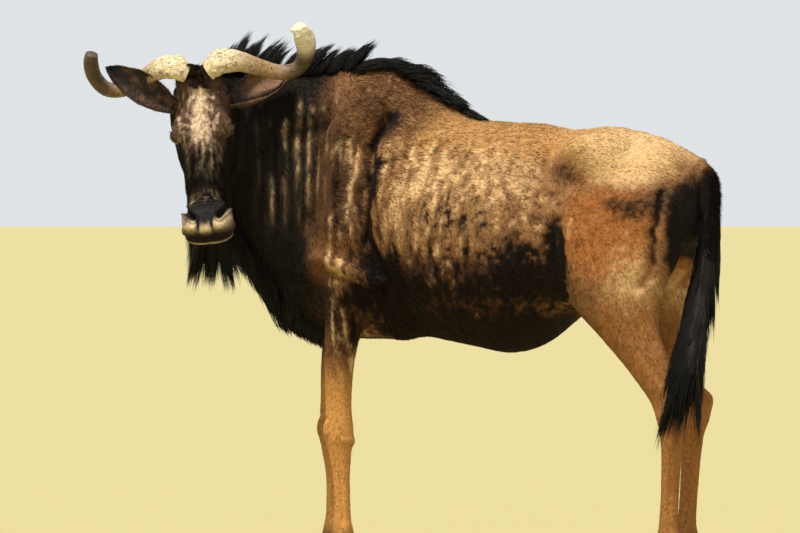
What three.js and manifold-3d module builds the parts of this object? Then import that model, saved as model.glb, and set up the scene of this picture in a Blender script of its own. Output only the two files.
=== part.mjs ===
// A blue wildebeest bull, life size, standing with its head turned to its left.
// Sizes are millimetres. X runs from the head to the tail, Y to the animal's right, Z up.

import * as THREE from "three";
import { mergeVertices } from "three/addons/utils/BufferGeometryUtils.js";
import Module from "manifold-3d";

const wasm = await Module();
wasm.setup();

// Driving dimensions
const GAP = 0.3; // between nodes that touch
const HEAD_STEP = [19, 26, 22]; // size of the grid boxes for the head's surface
const CUT_OVERRUN = 28; // how far a node's surface runs on past its cut before it is trimmed
const NECK_ROOT_X = -100; // where the neck's bend starts on the body's middle plane
const NECK_BEND_RADIUS = 400;
const POLL = [-462, -262, 1352]; // top of the neck, where the head is carried
const HEAD_HEADING_DEG = 112.5; // how far the head turns from straight ahead to the animal's left
const HEAD_ROLL_DEG = 6; // how far the head tilts, its right side down
const HEAD_PITCH_DEG = 55; // how far the face points below the horizontal
const EYE_RADIUS = 21;
const EYE_ALONG = 180; // along the face from the poll
const EYE_OUT = 66; // to each side of the middle of the face
const EYE_UP = 30;
const HORN_LENGTH_STEPS = 15;
const HORN_SIDES = 8;
const HOOF_TOP = 64;
const CLAW_LENGTH = 92;
const CLAW_WIDTH = 40;
const CLAW_SPREAD = 22; // from the foot's middle to each claw's middle

// The trunk: x, height of the back, height of the belly, half width, how narrow the ridge of the back is
const TRUNK = [
  [-330, 1240, 705, 112, 0.3],
  [-220, 1335, 668, 150, 0.5],
  [-100, 1392, 690, 188, 0.9],
  [0, 1384, 698, 212, 1.0],
  [135, 1322, 672, 242, 0.7],
  [235, 1268, 654, 256, 0.35],
  [330, 1254, 640, 256, 0.2],
  [415, 1251, 662, 246, 0.2],
  [510, 1234, 730, 222, 0.25],
  [620, 1241, 800, 200, 0.3],
  [735, 1217, 850, 174, 0.25],
  [805, 1188, 900, 142, 0.2],
  [858, 1150, 950, 96, 0.1],
];
const TRUNK_CAP = [92, 16]; // how far the rounded ends reach past the first and last station

// The neck: degrees round its bend, height of the crest, height of the throat, half width
const NECK = [
  [-14, 1388, 690, 128],
  [0, 1394, 702, 138],
  [16, 1396, 742, 132],
  [34, 1398, 815, 118],
  [50, 1400, 930, 98],
  [62, 1395, 1040, 80],
  [72, 1380, 1092, 64],
];
const NECK_CREST = 0.55; // how much narrower the neck gets towards its crest

// The head: distance along the face, top and bottom of the section, half width
const HEAD = [
  [0, 42, -72, 78],
  [70, 60, -112, 88],
  [150, 62, -132, 74],
  [230, 58, -122, 60],
  [310, 54, -98, 55],
  [380, 50, -74, 54],
  [425, 46, -64, 53],
  [462, 38, -54, 58],
];
const HEAD_CAP = [26, 30];

// Each lobe of the head: along, out, up, and its three radii. A lobe that stands off the middle is mirrored.
const HEAD_LOBES = {
  occiput: [18, 0, 50, 52, 70, 34],
  brow: [166, 53, 42, 44, 25, 22],
  cheek: [170, 42, -58, 88, 27, 60],
  bridge: [300, 0, 46, 130, 30, 18],
  nose: [452, 0, 8, 48, 59, 42],
  nostril: [444, 40, 20, 36, 25, 25],
  upper_lip: [466, 28, -14, 26, 34, 22],
  lower_lip: [436, 0, -50, 48, 44, 22],
};

// A foreleg from the elbow down: height, x, y, half length, half width
const FORELEG = [
  [830, -52, 150, 80, 60],
  [760, -72, 146, 66, 54],
  [680, -92, 141, 52, 46],
  [600, -104, 136, 44, 38],
  [500, -108, 130, 38, 34],
  [425, -108, 127, 42, 38],
  [370, -106, 125, 33, 31],
  [300, -102, 124, 25, 24],
  [200, -100, 123, 26, 26],
  [150, -101, 123, 34, 33],
  [105, -114, 123, 28, 31],
  [56, -126, 123, 34, 38],
];
// A hind leg from the haunch down, the same way
const HINDLEG = [
  [1130, 715, 98, 150, 86],
  [1010, 735, 118, 158, 92],
  [900, 722, 134, 158, 84],
  [815, 708, 140, 146, 72],
  [750, 722, 136, 114, 60],
  [690, 752, 130, 88, 50],
  [620, 796, 125, 68, 41],
  [560, 833, 121, 56, 35],
  [520, 861, 119, 56, 34],
  [475, 868, 118, 46, 35],
  [425, 866, 117, 33, 29],
  [300, 862, 116, 27, 24],
  [200, 858, 116, 28, 26],
  [150, 856, 116, 36, 33],
  [105, 842, 116, 29, 31],
  [56, 828, 116, 34, 38],
];
// How far each leg stands from that plan along the body: at its top, and at its foot
const STANCE = {
  front_left: [-12, -12],
  front_right: [-152, -154],
  hind_left: [-26, -40],
  hind_right: [-48, -86],
};
const FAR_SHOULDER_SWING = -0.36; // how far the stepping shoulder's muscles move forward, for each mm down
const FORELEG_TOP = 640; // where each leg is parted from the body
const HINDLEG_TOP = 690;

// Muscles on each side: x, y, z, how far the long axis leans in degrees, half length, half width, half depth
const MUSCLES = {
  shoulder_blade: [-108, 128, 1150, 58, 205, 62, 96],
  upper_arm: [-98, 160, 930, 42, 140, 56, 84],
  elbow: [-34, 156, 838, 20, 62, 50, 50],
  hip: [610, 150, 1150, 20, 110, 58, 66],
  buttock: [778, 92, 1030, 80, 120, 72, 84],
};

// The tail's bony part: height, x, y, radius
const DOCK = [
  [1146, 846, 0, 34],
  [1112, 880, 0, 30],
  [1050, 898, -8, 25],
  [950, 904, -34, 22],
  [830, 910, -80, 20],
  [700, 906, -132, 18],
  [600, 904, -165, 14],
];

// Helpers for vectors and tables
const vec = (x, y, z) => new THREE.Vector3(x, y, z);
const radians = THREE.MathUtils.degToRad;
const clamp = THREE.MathUtils.clamp;
const lerp = THREE.MathUtils.lerp;

// A seeded source of numbers from 0 to 1
function dice(seed) {
  let state = seed;
  return () => {
    state = (state * 1664525 + 1013904223) % 4294967296;
    return state / 4294967296;
  };
}

// A table whose first column rises or falls becomes a function that gives its other columns, smoothly
function smoothTable(rows) {
  const sorted = [...rows].sort((a, b) => a[0] - b[0]);
  const slope = (i, c) => {
    const before = sorted[Math.max(i - 1, 0)];
    const after = sorted[Math.min(i + 1, sorted.length - 1)];
    return (after[c] - before[c]) / (after[0] - before[0]);
  };
  return (t) => {
    const at = clamp(t, sorted[0][0], sorted.at(-1)[0]);
    let i = 0;
    while (i < sorted.length - 2 && at > sorted[i + 1][0]) i++;
    const width = sorted[i + 1][0] - sorted[i][0];
    const u = (at - sorted[i][0]) / width;
    const u2 = u * u;
    const u3 = u2 * u;
    return sorted[i].map((v, c) => {
      if (c === 0) return at;
      const end = sorted[i + 1][c];
      const bend = (u3 - 2 * u2 + u) * slope(i, c) + (u3 - u2) * slope(i + 1, c);
      return (2 * u3 - 3 * u2 + 1) * v + (3 * u2 - 2 * u3) * end + bend * width;
    });
  };
}

// About how far a point lies outside an ellipsoid with these radii
function outside(a, b, c, ra, rb, rc) {
  const near = Math.hypot(a / ra, b / rb, c / rc);
  const steep = Math.hypot(a / ra ** 2, b / rb ** 2, c / rc ** 2);
  return steep < 1e-9 ? -Math.min(ra, rb, rc) : (near * (near - 1)) / steep;
}

// The lower of two distances, blended where they are closer than the reach
function blend(a, b, reach) {
  const h = Math.max(reach - Math.abs(a - b), 0) / reach;
  return Math.min(a, b) - (h * h * reach) / 4;
}

// The trunk's field: below zero inside
const trunkAt = smoothTable(TRUNK);
function trunk(x, y, z) {
  const [at, back, belly, half, ridge] = trunkAt(x);
  const middle = (back + belly) / 2;
  const depth = (back - belly) / 2;
  const up = Math.max(0, (z - middle) / depth);
  const over = x - at;
  const cap = over < 0 ? TRUNK_CAP[0] : TRUNK_CAP[1];
  return outside(y * (1 + ridge * up * up), z - middle, over, half, depth, cap);
}

// The neck bends round an upright line beside the animal
const neckAt = smoothTable(NECK);
function neckPlace(x, y) {
  const out = NECK_BEND_RADIUS + y;
  const ahead = NECK_ROOT_X - x;
  const degrees = THREE.MathUtils.radToDeg(Math.atan2(ahead, out));
  return { degrees, side: Math.hypot(ahead, out) - NECK_BEND_RADIUS };
}
function neckPoint(degrees, side, z) {
  const r = NECK_BEND_RADIUS + side;
  const angle = radians(degrees);
  return vec(NECK_ROOT_X - r * Math.sin(angle), r * Math.cos(angle) - NECK_BEND_RADIUS, z);
}
function neck(x, y, z) {
  const { degrees, side } = neckPlace(x, y);
  const [at, crest, throat, half] = neckAt(degrees);
  const middle = (crest + throat) / 2;
  const depth = (crest - throat) / 2;
  const up = Math.max(0, (z - middle) / depth);
  const over = radians(degrees - at) * NECK_BEND_RADIUS;
  return outside(side * (1 + NECK_CREST * up * up), z - middle, over, half, depth, over > 0 ? 26 : 40);
}

// The head's own axes: along the face, out to the animal's right, and up from the face
const heading = vec(-Math.cos(radians(HEAD_HEADING_DEG)), -Math.sin(radians(HEAD_HEADING_DEG)), 0);
const headOut = heading.clone().cross(vec(0, 0, 1)).applyAxisAngle(heading, radians(HEAD_ROLL_DEG));
const headAlong = heading.clone().applyAxisAngle(headOut, -radians(HEAD_PITCH_DEG));
const headUp = headOut.clone().cross(headAlong);
const headFrame = new THREE.Matrix4().makeBasis(headOut, headAlong, headUp).setPosition(...POLL);
const headPoint = (along, out, up) =>
  vec(...POLL).addScaledVector(headAlong, along).addScaledVector(headOut, out).addScaledVector(headUp, up);
const headWay = (along, out, up) => headPoint(along, out, up).sub(vec(...POLL)).normalize();

const headAt = smoothTable(HEAD);
function head(x, y, z) {
  const p = vec(x - POLL[0], y - POLL[1], z - POLL[2]);
  const along = p.dot(headAlong);
  const out = p.dot(headOut);
  const up = p.dot(headUp);
  const [at, top, bottom, half] = headAt(along);
  const over = along - at;
  const middle = (top + bottom) / 2;
  let d = outside(out, up - middle, over, half, (top - bottom) / 2, over < 0 ? HEAD_CAP[0] : HEAD_CAP[1]);
  for (const [a, o, u, ra, ro, ru] of Object.values(HEAD_LOBES)) {
    d = blend(d, outside(along - a, Math.abs(out) - o, up - u, ra, ro, ru), 26);
  }
  return d;
}

// A leg's field: sections that lie level, shifted so that the foot stands where the stance says
function legField(rows, side, stance) {
  const top = rows[0][0];
  const at = smoothTable(rows);
  return (x, y, z) => {
    const [level, cx, cy, half, wide] = at(z);
    const over = z - level;
    const px = x - cx - lerp(stance[0], stance[1], (top - level) / top);
    return outside(px, side * y - cy, over, half, wide, over > 0 ? 60 : 10);
  };
}
const legs = {
  front_left: legField(FORELEG, -1, STANCE.front_left),
  front_right: legField(FORELEG, 1, STANCE.front_right),
  hind_left: legField(HINDLEG, -1, STANCE.hind_left),
  hind_right: legField(HINDLEG, 1, STANCE.hind_right),
};

// A muscle: an ellipsoid that leans in the upright plane along the body, on one side
function muscleField([cx, cy, cz, lean, long, wide, deep], side, shift) {
  const c = Math.cos(radians(lean));
  const s = Math.sin(radians(lean));
  return (x, y, z) => {
    const dx = x - cx - shift;
    const dz = z - cz;
    return outside(dx * c + dz * s, side * y - cy, dz * c - dx * s, long, wide, deep);
  };
}
const muscles = [-1, 1].flatMap((side) =>
  Object.entries(MUSCLES).map(([name, sizes]) => {
    const strides = side > 0 && sizes[0] < 0;
    return { name, field: muscleField(sizes, side, strides ? (1250 - sizes[2]) * FAR_SHOULDER_SWING : 0) };
  }),
);

const dockAt = smoothTable(DOCK);
function dock(x, y, z) {
  const [at, cx, cy, radius] = dockAt(z);
  return outside(x - cx, y - cy, z - at, radius, radius, 16);
}

// The flesh without the tail, with smooth joins
function body(x, y, z) {
  let d = blend(trunk(x, y, z), neck(x, y, z), 90);
  for (const { field } of muscles) d = blend(d, field(x, y, z), 46);
  d = blend(d, legs.front_left(x, y, z), 60);
  d = blend(d, legs.front_right(x, y, z), 60);
  d = blend(d, legs.hind_left(x, y, z), 70);
  d = blend(d, legs.hind_right(x, y, z), 70);
  return blend(d, head(x, y, z), 44);
}
const flesh = (x, y, z) => blend(body(x, y, z), dock(x, y, z), 24);

// The corners of a grid box are numbered x + 2y + 4z. Its edges run along x, then y, then z.
const BOX_EDGES = [
  [0, 1], [2, 3], [4, 5], [6, 7],
  [0, 2], [1, 3], [4, 6], [5, 7],
  [0, 4], [1, 5], [2, 6], [3, 7],
];
const BOX_FACES = [
  [0, 1, 3, 2], [4, 5, 7, 6], [0, 1, 5, 4],
  [2, 3, 7, 6], [0, 2, 6, 4], [1, 3, 7, 5],
];
const boxEdge = (a, b) => BOX_EDGES.findIndex(([p, q]) => (p === a && q === b) || (p === b && q === a));

// Groups the crossed edges of a box into the separate sheets of surface that pass through it
const sheetTable = new Map();
function sheetsIn(inside) {
  const key = inside.map(Number).join("");
  if (sheetTable.has(key)) return sheetTable.get(key);
  const group = BOX_EDGES.map((_, e) => e);
  const joinEdges = (e, f) => {
    const [keep, drop] = [group[e], group[f]];
    group.forEach((g, i) => {
      if (g === drop) group[i] = keep;
    });
  };
  const crossed = BOX_EDGES.map(([a, b]) => inside[a] !== inside[b]);
  for (const face of BOX_FACES) {
    const round = face.map((c, i) => boxEdge(c, face[(i + 1) % 4]));
    const hit = round.filter((e) => crossed[e]);
    if (hit.length === 2) joinEdges(hit[0], hit[1]);
    if (hit.length < 4) continue;
    face.forEach((c, i) => {
      if (inside[c]) joinEdges(round[i], round[(i + 3) % 4]);
    });
  }
  const sheets = [...new Set(group.filter((_, e) => crossed[e]))];
  const loops = sheets.map((g) => BOX_EDGES.map((_, e) => e).filter((e) => crossed[e] && group[e] === g));
  sheetTable.set(key, loops);
  return loops;
}

// Turns a field into a closed surface: one vertex for each sheet in a grid box, set on the field's zero
function surfaceOf(field, low, high, step) {
  const count = low.map((v, i) => Math.ceil((high[i] - v) / step[i]) + 1);
  const strideY = count[0];
  const strideZ = count[0] * count[1];
  const value = new Float64Array(strideZ * count[2]);
  const level = (axis, n) => low[axis] + n * step[axis];
  for (let k = 0; k < count[2]; k++)
    for (let j = 0; j < count[1]; j++)
      for (let i = 0; i < count[0]; i++)
        value[i + j * strideY + k * strideZ] = field(level(0, i), level(1, j), level(2, k));

  const corners = [0, 1, 2, 3, 4, 5, 6, 7].map((c) => (c & 1) + ((c >> 1) & 1) * strideY + (c >> 2) * strideZ);
  const vertexOf = new Int32Array(value.length * 12).fill(-1);
  const places = [];
  const cornerPlace = (c) => [c & 1, (c >> 1) & 1, c >> 2];
  for (let k = 0; k < count[2] - 1; k++)
    for (let j = 0; j < count[1] - 1; j++)
      for (let i = 0; i < count[0] - 1; i++) {
        const base = i + j * strideY + k * strideZ;
        const at = corners.map((c) => value[base + c]);
        for (const loop of sheetsIn(at.map((v) => v < 0))) {
          const crossings = loop.map((e) => {
            const [a, b] = BOX_EDGES[e];
            const t = at[a] / (at[a] - at[b]);
            const from = cornerPlace(a);
            return cornerPlace(b).map((v, c) => lerp(from[c], v, t));
          });
          const total = (c) => crossings.reduce((sum, p) => sum + p[c], 0);
          const middle = [0, 1, 2].map((c) => total(c) / crossings.length);
          for (const e of loop) vertexOf[base * 12 + e] = places.length / 3;
          places.push(...middle.map((v, c) => low[c] + ([i, j, k][c] + v) * step[c]));
        }
      }

  const reach = Math.min(...step) * 0.45;
  const probe = 0.5;
  for (let n = 0; n < places.length; n += 3) {
    const [x, y, z] = places.slice(n, n + 3);
    const here = field(x, y, z);
    const way = vec(
      field(x + probe, y, z) - field(x - probe, y, z),
      field(x, y + probe, z) - field(x, y - probe, z),
      field(x, y, z + probe) - field(x, y, z - probe),
    ).divideScalar(2 * probe);
    const move = way.multiplyScalar(-here / Math.max(way.lengthSq(), 0.05)).clampLength(0, reach);
    places[n] += move.x;
    places[n + 1] += move.y;
    places[n + 2] += move.z;
  }

  const faces = [];
  const strides = [1, strideY, strideZ];
  for (let k = 1; k < count[2] - 1; k++)
    for (let j = 1; j < count[1] - 1; j++)
      for (let i = 1; i < count[0] - 1; i++) {
        const at = i + j * strideY + k * strideZ;
        for (let axis = 0; axis < 3; axis++) {
          const inside = value[at] < 0;
          if (inside === value[at + strides[axis]] < 0) continue;
          const ring = [[1, 1], [0, 1], [0, 0], [1, 0]].map(([du, dv]) => {
            const cell = at - du * strides[(axis + 1) % 3] - dv * strides[(axis + 2) % 3];
            return vertexOf[cell * 12 + axis * 4 + (axis === 1 ? dv + 2 * du : du + 2 * dv)];
          });
          if (!inside) ring.reverse();
          faces.push(ring[0], ring[1], ring[2], ring[0], ring[2], ring[3]);
        }
      }
  const geometry = new THREE.BufferGeometry();
  geometry.setAttribute("position", new THREE.Float32BufferAttribute(places, 3));
  geometry.setIndex(faces);
  return geometry;
}

// A three.js geometry becomes a solid that can be joined and cut, and back
function solidOf(geometry) {
  const bare = new THREE.BufferGeometry();
  bare.setAttribute("position", geometry.getAttribute("position").clone());
  if (geometry.index) bare.setIndex(geometry.index.clone());
  const merged = mergeVertices(bare, 1e-3);
  const corners = merged.index.array;
  const kept = [];
  for (let t = 0; t < corners.length; t += 3) {
    const [a, b, c] = corners.slice(t, t + 3);
    if (a !== b && b !== c && c !== a) kept.push(a, b, c);
  }
  const mesh = new wasm.Mesh({
    numProp: 3,
    vertProperties: merged.attributes.position.array,
    triVerts: new Uint32Array(kept),
  });
  return new wasm.Manifold(mesh);
}
function geometryOf(solid) {
  const mesh = solid.getMesh();
  const geometry = new THREE.BufferGeometry();
  geometry.setAttribute("position", new THREE.Float32BufferAttribute(mesh.vertProperties, mesh.numProp));
  geometry.setIndex([...mesh.triVerts]);
  return geometry;
}
// The same solid a little thicker all round, to cut its neighbours clear of it
function swollen(solid, by = GAP * 1.4) {
  const geometry = mergeVertices(geometryOf(solid), 1e-3);
  geometry.computeVertexNormals();
  const place = geometry.getAttribute("position");
  const normal = geometry.getAttribute("normal");
  for (let i = 0; i < place.count; i++) {
    const p = vec(0, 0, 0).fromBufferAttribute(place, i);
    p.addScaledVector(vec(0, 0, 0).fromBufferAttribute(normal, i), by);
    place.setXYZ(i, p.x, p.y, p.z);
  }
  return solidOf(geometry);
}
// The largest closed surface of a solid
function largest(solid) {
  const bodies = solid.decompose().sort((a, b) => b.volume() - a.volume());
  return bodies[0];
}

// A box with one face on the plane through a point, standing on the side that its normal points to
function sideBox(point, normal, size = 3000) {
  const box = new THREE.BoxGeometry(size, size, size).translate(0, 0, size / 2);
  box.applyQuaternion(new THREE.Quaternion().setFromUnitVectors(vec(0, 0, 1), normal));
  return solidOf(box.translate(point.x, point.y, point.z));
}
function blockBetween(low, high) {
  const size = high.map((v, i) => v - low[i]);
  const box = new THREE.BoxGeometry(...size);
  return solidOf(box.translate(...low.map((v, i) => v + size[i] / 2)));
}

// A plane that parts two nodes: a point on it and its normal
function cut(point, normal) {
  const n = normal.clone().normalize();
  const height = (x, y, z) => (x - point.x) * n.x + (y - point.y) * n.y + (z - point.z) * n.z;
  return {
    height,
    ahead: (size) => sideBox(point.clone().addScaledVector(n, -GAP / 2), n, size),
    behind: (size) => sideBox(point.clone().addScaledVector(n, GAP / 2), n.clone().negate(), size),
  };
}
const neckCut = cut(vec(-240, 0, 1075), vec(-0.962, 0, 0.275));
const headCut = cut(vec(...POLL).addScaledVector(heading, -36), vec(-0.2, -0.97, -0.1));
const legCuts = {
  front_left: [[-330, -260, -100], [70, -20, FORELEG_TOP]],
  front_right: [[-470, 20, -100], [-120, 260, FORELEG_TOP]],
  hind_left: [[480, -280, -100], [960, -20, HINDLEG_TOP]],
  hind_right: [[440, 20, -100], [920, 280, HINDLEG_TOP]],
};
const inLegBox = ([low, high], x, y, z) => {
  const outsideBox = Math.max(low[0] - x, x - high[0], low[1] - y, y - high[1], z - high[2]);
  return -outsideBox;
};

// A closed tube of rings along a curve. Each ring has its own two radii, and the side direction sets its turn.
function sweep(points, radii, side, sides) {
  const places = [];
  const rings = points.length;
  points.forEach((p, i) => {
    const before = points[Math.max(i - 1, 0)];
    const after = points[Math.min(i + 1, rings - 1)];
    const along = after.clone().sub(before).normalize();
    const across = side.clone().addScaledVector(along, -side.dot(along)).normalize();
    const up = along.clone().cross(across);
    for (let s = 0; s < sides; s++) {
      const angle = (s / sides) * 2 * Math.PI;
      const q = p.clone();
      q.addScaledVector(across, Math.cos(angle) * radii[i][0]);
      q.addScaledVector(up, Math.sin(angle) * radii[i][1]);
      places.push(q.x, q.y, q.z);
    }
  });
  const faces = [];
  for (let i = 0; i < rings - 1; i++)
    for (let s = 0; s < sides; s++) {
      const a = i * sides + s;
      const b = i * sides + ((s + 1) % sides);
      faces.push(a, b, b + sides, a, b + sides, a + sides);
    }
  const start = places.length / 3;
  places.push(...points[0].toArray(), ...points.at(-1).toArray());
  for (let s = 0; s < sides; s++) {
    const next = (s + 1) % sides;
    const last = (rings - 1) * sides;
    faces.push(start, next, s, start + 1, last + s, last + next);
  }
  const geometry = new THREE.BufferGeometry();
  geometry.setAttribute("position", new THREE.Float32BufferAttribute(places, 3));
  geometry.setIndex(faces);
  return geometry;
}

// A flat lock of hair. It leaves the root along rise, bends over towards fall, and tapers to its tip.
const LOCK_SINK = 14;
const LOCK_SHAPE = [0.85, 1, 0.7];
function lock({ root, rise, fall, flat, length, width, thick, bend = 0.5 }) {
  const start = root.clone().addScaledVector(rise, -LOCK_SINK);
  const knee = root.clone().addScaledVector(rise, length * bend);
  const tip = knee.clone().addScaledVector(fall, length * (1 - bend));
  const line = new THREE.QuadraticBezierCurve3(start, knee, tip);
  const steps = LOCK_SHAPE.length;
  const points = [];
  for (let i = 0; i <= steps; i++) points.push(line.getPoint(i / steps));
  const radii = [...LOCK_SHAPE, 0].map((w) => [(w * width) / 2, (thick / 2) * Math.sqrt(w)]);
  return solidOf(sweep(points, radii, flat, 3));
}

// Finds where a line from inside the flesh comes out of it
function skinPoint(from, way, limit = 400) {
  let near = 0;
  let far = limit;
  for (let i = 0; i < 24; i++) {
    const mid = (near + far) / 2;
    const p = from.clone().addScaledVector(way, mid);
    if (flesh(p.x, p.y, p.z) < 0) near = mid;
    else far = mid;
  }
  return from.clone().addScaledVector(way, near);
}

// The dense root of a mane or beard: a flattened ridge that reaches half way to the tips of its hair
function ridge(points, radii) {
  return solidOf(sweep(points, radii, vec(0, 0, 1), 6));
}

function joinAll(solids) {
  return solids.reduce((all, s) => all.add(s));
}

// Mane: rows of locks along the crest of the neck, upright and leaning back, over a ridge half as high
function maneOfNeck() {
  const roll = dice(11);
  const locks = [];
  const steps = 9;
  for (const row of [-1, 0, 1])
    for (let i = 0; i < steps; i++) {
      const share = (i + 0.3 + 0.25 * row + roll() * 0.35) / steps;
      const degrees = lerp(67, 5, share);
      const crest = neckAt(degrees)[1];
      const inside = neckPoint(degrees, 0, crest - 60);
      const out = neckPoint(degrees, 1, 0).sub(neckPoint(degrees, 0, 0));
      const back = neckPoint(degrees - 1, 0, 0).sub(neckPoint(degrees, 0, 0)).normalize();
      const way = vec(0, 0, 1).addScaledVector(out, row * 0.34).normalize();
      const root = skinPoint(inside, way);
      const lean = lerp(0.3, 0.8, share) + roll() * 0.3;
      const up = vec(0, 0, 1);
      const rise = up.clone().addScaledVector(out, row * 0.28).addScaledVector(back, lean * 0.4).normalize();
      const over = up.clone().addScaledVector(out, row * 0.23);
      const fall = over.addScaledVector(back, lean * 2.1).normalize();
      const young = lerp(0.4, 1, clamp(share * 4, 0, 1));
      const length = (lerp(112, 88, share) * (row === 0 ? 1.12 : 0.92) + roll() * 22) * young;
      locks.push(lock({ root, rise, fall, flat: back, length, width: 64 + roll() * 14, thick: 17 }));
    }
  return locks;
}
function maneCore() {
  const points = [];
  const radii = [];
  const steps = 10;
  for (let i = 0; i <= steps; i++) {
    const degrees = lerp(70, 1, i / steps);
    const high = 48 * Math.sin(Math.PI * clamp((i + 0.4) / (steps + 1), 0.1, 0.88));
    points.push(neckPoint(degrees, 0, neckAt(degrees)[1] - 4));
    radii.push([high, 17]);
  }
  return ridge(points, radii);
}

// The mane falls over the withers, to lie along the back and over its left side
function maneOfWithers() {
  const roll = dice(23);
  const locks = [];
  const steps = 5;
  for (const row of [-1, 0, 1])
    for (let i = 0; i < steps; i++) {
      const share = (i + 0.5 + 0.25 * row + roll() * 0.3) / steps;
      const x = lerp(-122, 200, share);
      const way = vec(0, row * 0.34 - 0.05, 1).normalize();
      const root = skinPoint(vec(x, 0, trunkAt(x)[1] - 70), way);
      const rise = vec(1, row * 0.3 - 0.12, lerp(0.36, -0.22, share)).normalize();
      const fall = vec(1, row * 0.14 - 0.26, lerp(-0.24, -0.66, share)).normalize();
      const flat = vec(0, 1, 0.1 * row);
      const length = lerp(104, 120, share) + roll() * 26;
      locks.push(lock({ root, rise, fall, flat, length, width: 62 + roll() * 12, thick: 15 }));
    }
  return locks;
}
function withersCore() {
  const points = [];
  const radii = [];
  const steps = 7;
  for (let i = 0; i <= steps; i++) {
    const x = lerp(-128, 214, i / steps);
    const high = 18 * Math.sin(Math.PI * clamp((i + 0.5) / (steps + 1), 0.1, 0.9));
    points.push(vec(x, -4, trunkAt(x)[1] - 4));
    radii.push([high, 24]);
  }
  return ridge(points, radii);
}

// The beard on the throat hangs from the underside of the neck
function beardOfThroat() {
  const roll = dice(37);
  const locks = [];
  const steps = 5;
  for (const row of [-1, 0, 1])
    for (let i = 0; i < steps; i++) {
      const share = (i + 0.35 + 0.25 * row + roll() * 0.3) / steps;
      const degrees = lerp(61, 12, share);
      const inside = neckPoint(degrees, 0, neckAt(degrees)[2] + 80);
      const out = neckPoint(degrees, 1, 0).sub(neckPoint(degrees, 0, 0));
      const back = neckPoint(degrees - 1, 0, 0).sub(neckPoint(degrees, 0, 0)).normalize();
      const way = vec(0, 0, -1).addScaledVector(out, row * 0.35).normalize();
      const root = skinPoint(inside, way);
      const rise = vec(0, 0, -1).addScaledVector(out, row * 0.24).addScaledVector(back, -0.1).normalize();
      const fall = vec(0, 0, -1).addScaledVector(back, 0.45 + roll() * 0.35).normalize();
      const length = lerp(172, 36, clamp(share * 1.5, 0, 1)) + roll() * 18;
      locks.push(lock({ root, rise, fall, flat: back, length, width: 74 + roll() * 14, thick: 16 }));
    }
  return locks;
}
function throatCore() {
  const points = [];
  const radii = [];
  const steps = 7;
  for (let i = 0; i <= steps; i++) {
    const degrees = lerp(62, 8, i / steps);
    const full = Math.sin(Math.PI * clamp((i + 0.7) / (steps + 1.4), 0.15, 0.85));
    points.push(neckPoint(degrees, 0, neckAt(degrees)[2] + 6));
    radii.push([lerp(78, 30, (i / steps) ** 0.8) * full, 20]);
  }
  return ridge(points, radii);
}

// The beard on the jaw hangs from the chin back to the angle of the jaw, and is fullest at the chin
function beardOfJaw() {
  const roll = dice(41);
  const locks = [];
  const rowsAt = [[-1, -0.5, 0, 0.5, 1], [-0.8, -0.3, 0.3, 0.8], [-1, 0, 1], [-1, 0, 1], [-1, 0, 1]];
  rowsAt.forEach((rows, i) => {
    for (const row of rows) {
      const share = ((i + 0.3 - 0.2 * Math.abs(row) + roll() * 0.3) / rowsAt.length) ** 1.1;
      const inside = headPoint(lerp(418, 200, share), row * lerp(30, 32, share), -20);
      const root = skinPoint(inside, headWay(0, 0, -1));
      const rise = headWay(0.2, row * 0.16, -1);
      const spread = lerp(0.24, 0.1, share) * row;
      const sway = vec(0, 0, -1).addScaledVector(headOut, spread);
      const fall = sway.addScaledVector(heading, -0.3 * roll()).normalize();
      const flat = headOut.clone().addScaledVector(heading, row * 0.7).normalize();
      const length = lerp(200, 228, share) * (1 - 0.14 * Math.abs(row)) + roll() * 26;
      const width = lerp(58, 76, share) + roll() * 12;
      locks.push(lock({ root, rise, fall, flat, length, width, thick: 18, bend: 0.25 }));
    }
  });
  return locks;
}
function jawCore() {
  const points = [];
  const radii = [];
  const steps = 6;
  for (let i = 0; i <= steps; i++) {
    const along = lerp(424, 196, i / steps);
    const full = Math.sin(Math.PI * clamp((i + 1.4) / (steps + 2.1), 0.16, 0.84));
    points.push(headPoint(along, 0, headAt(along)[2] + 6));
    radii.push([lerp(72, 100, i / steps) * full, 22]);
  }
  return ridge(points, radii);
}

// Dark hair on the poll between the horns, and on the forehead
function forelock() {
  const roll = dice(53);
  const locks = [];
  for (const row of [-1, 1])
    for (let i = 0; i < 3; i++) {
      const root = skinPoint(headPoint(8 + i * 19, 0, 0), headWay(0, row * 0.16, 1));
      const rise = headWay(-0.5, row * 0.3, 0.8);
      const fall = headWay(0.5 + 0.3 * roll(), row * 0.5, 0.7);
      const length = 52 + roll() * 14;
      locks.push(lock({ root, rise, fall, flat: headOut, length, width: 32, thick: 14 }));
    }
  return locks;
}

// The tail's tassel: locks that hang from the lower half of the dock, over a core half as long. They fan out
// forwards and to the animal's left, past the hind leg.
function tassel() {
  const roll = dice(67);
  const locks = [];
  const levels = 5;
  for (let level = 0; level < levels; level++)
    for (let i = 0; i < 3; i++) {
      const share = level / (levels - 1);
      const z = lerp(990, 620, share);
      const [, cx, cy, radius] = dockAt(z);
      const turn = radians(i * 120 + 60 * (level % 2) + roll() * 30);
      const around = vec(Math.cos(turn), Math.sin(turn), 0);
      const root = vec(cx, cy, z).addScaledVector(around, radius * 0.7);
      const fan = lerp(0.16, 0.5, clamp(share * 1.8, 0, 1)) * (0.5 - 0.5 * Math.cos(turn));
      const rise = vec(-fan, -0.1 - 0.5 * fan, -1).addScaledVector(around, 0.07).normalize();
      const fall = vec(-0.5 * fan, -0.3 * fan, -1).normalize();
      const length = lerp(190, 205, share) + roll() * 26;
      const flat = vec(-Math.sin(turn), Math.cos(turn), 0);
      locks.push(lock({ root, rise, fall, flat, length, width: 72 + roll() * 12, thick: 20 }));
    }
  return locks;
}
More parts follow.
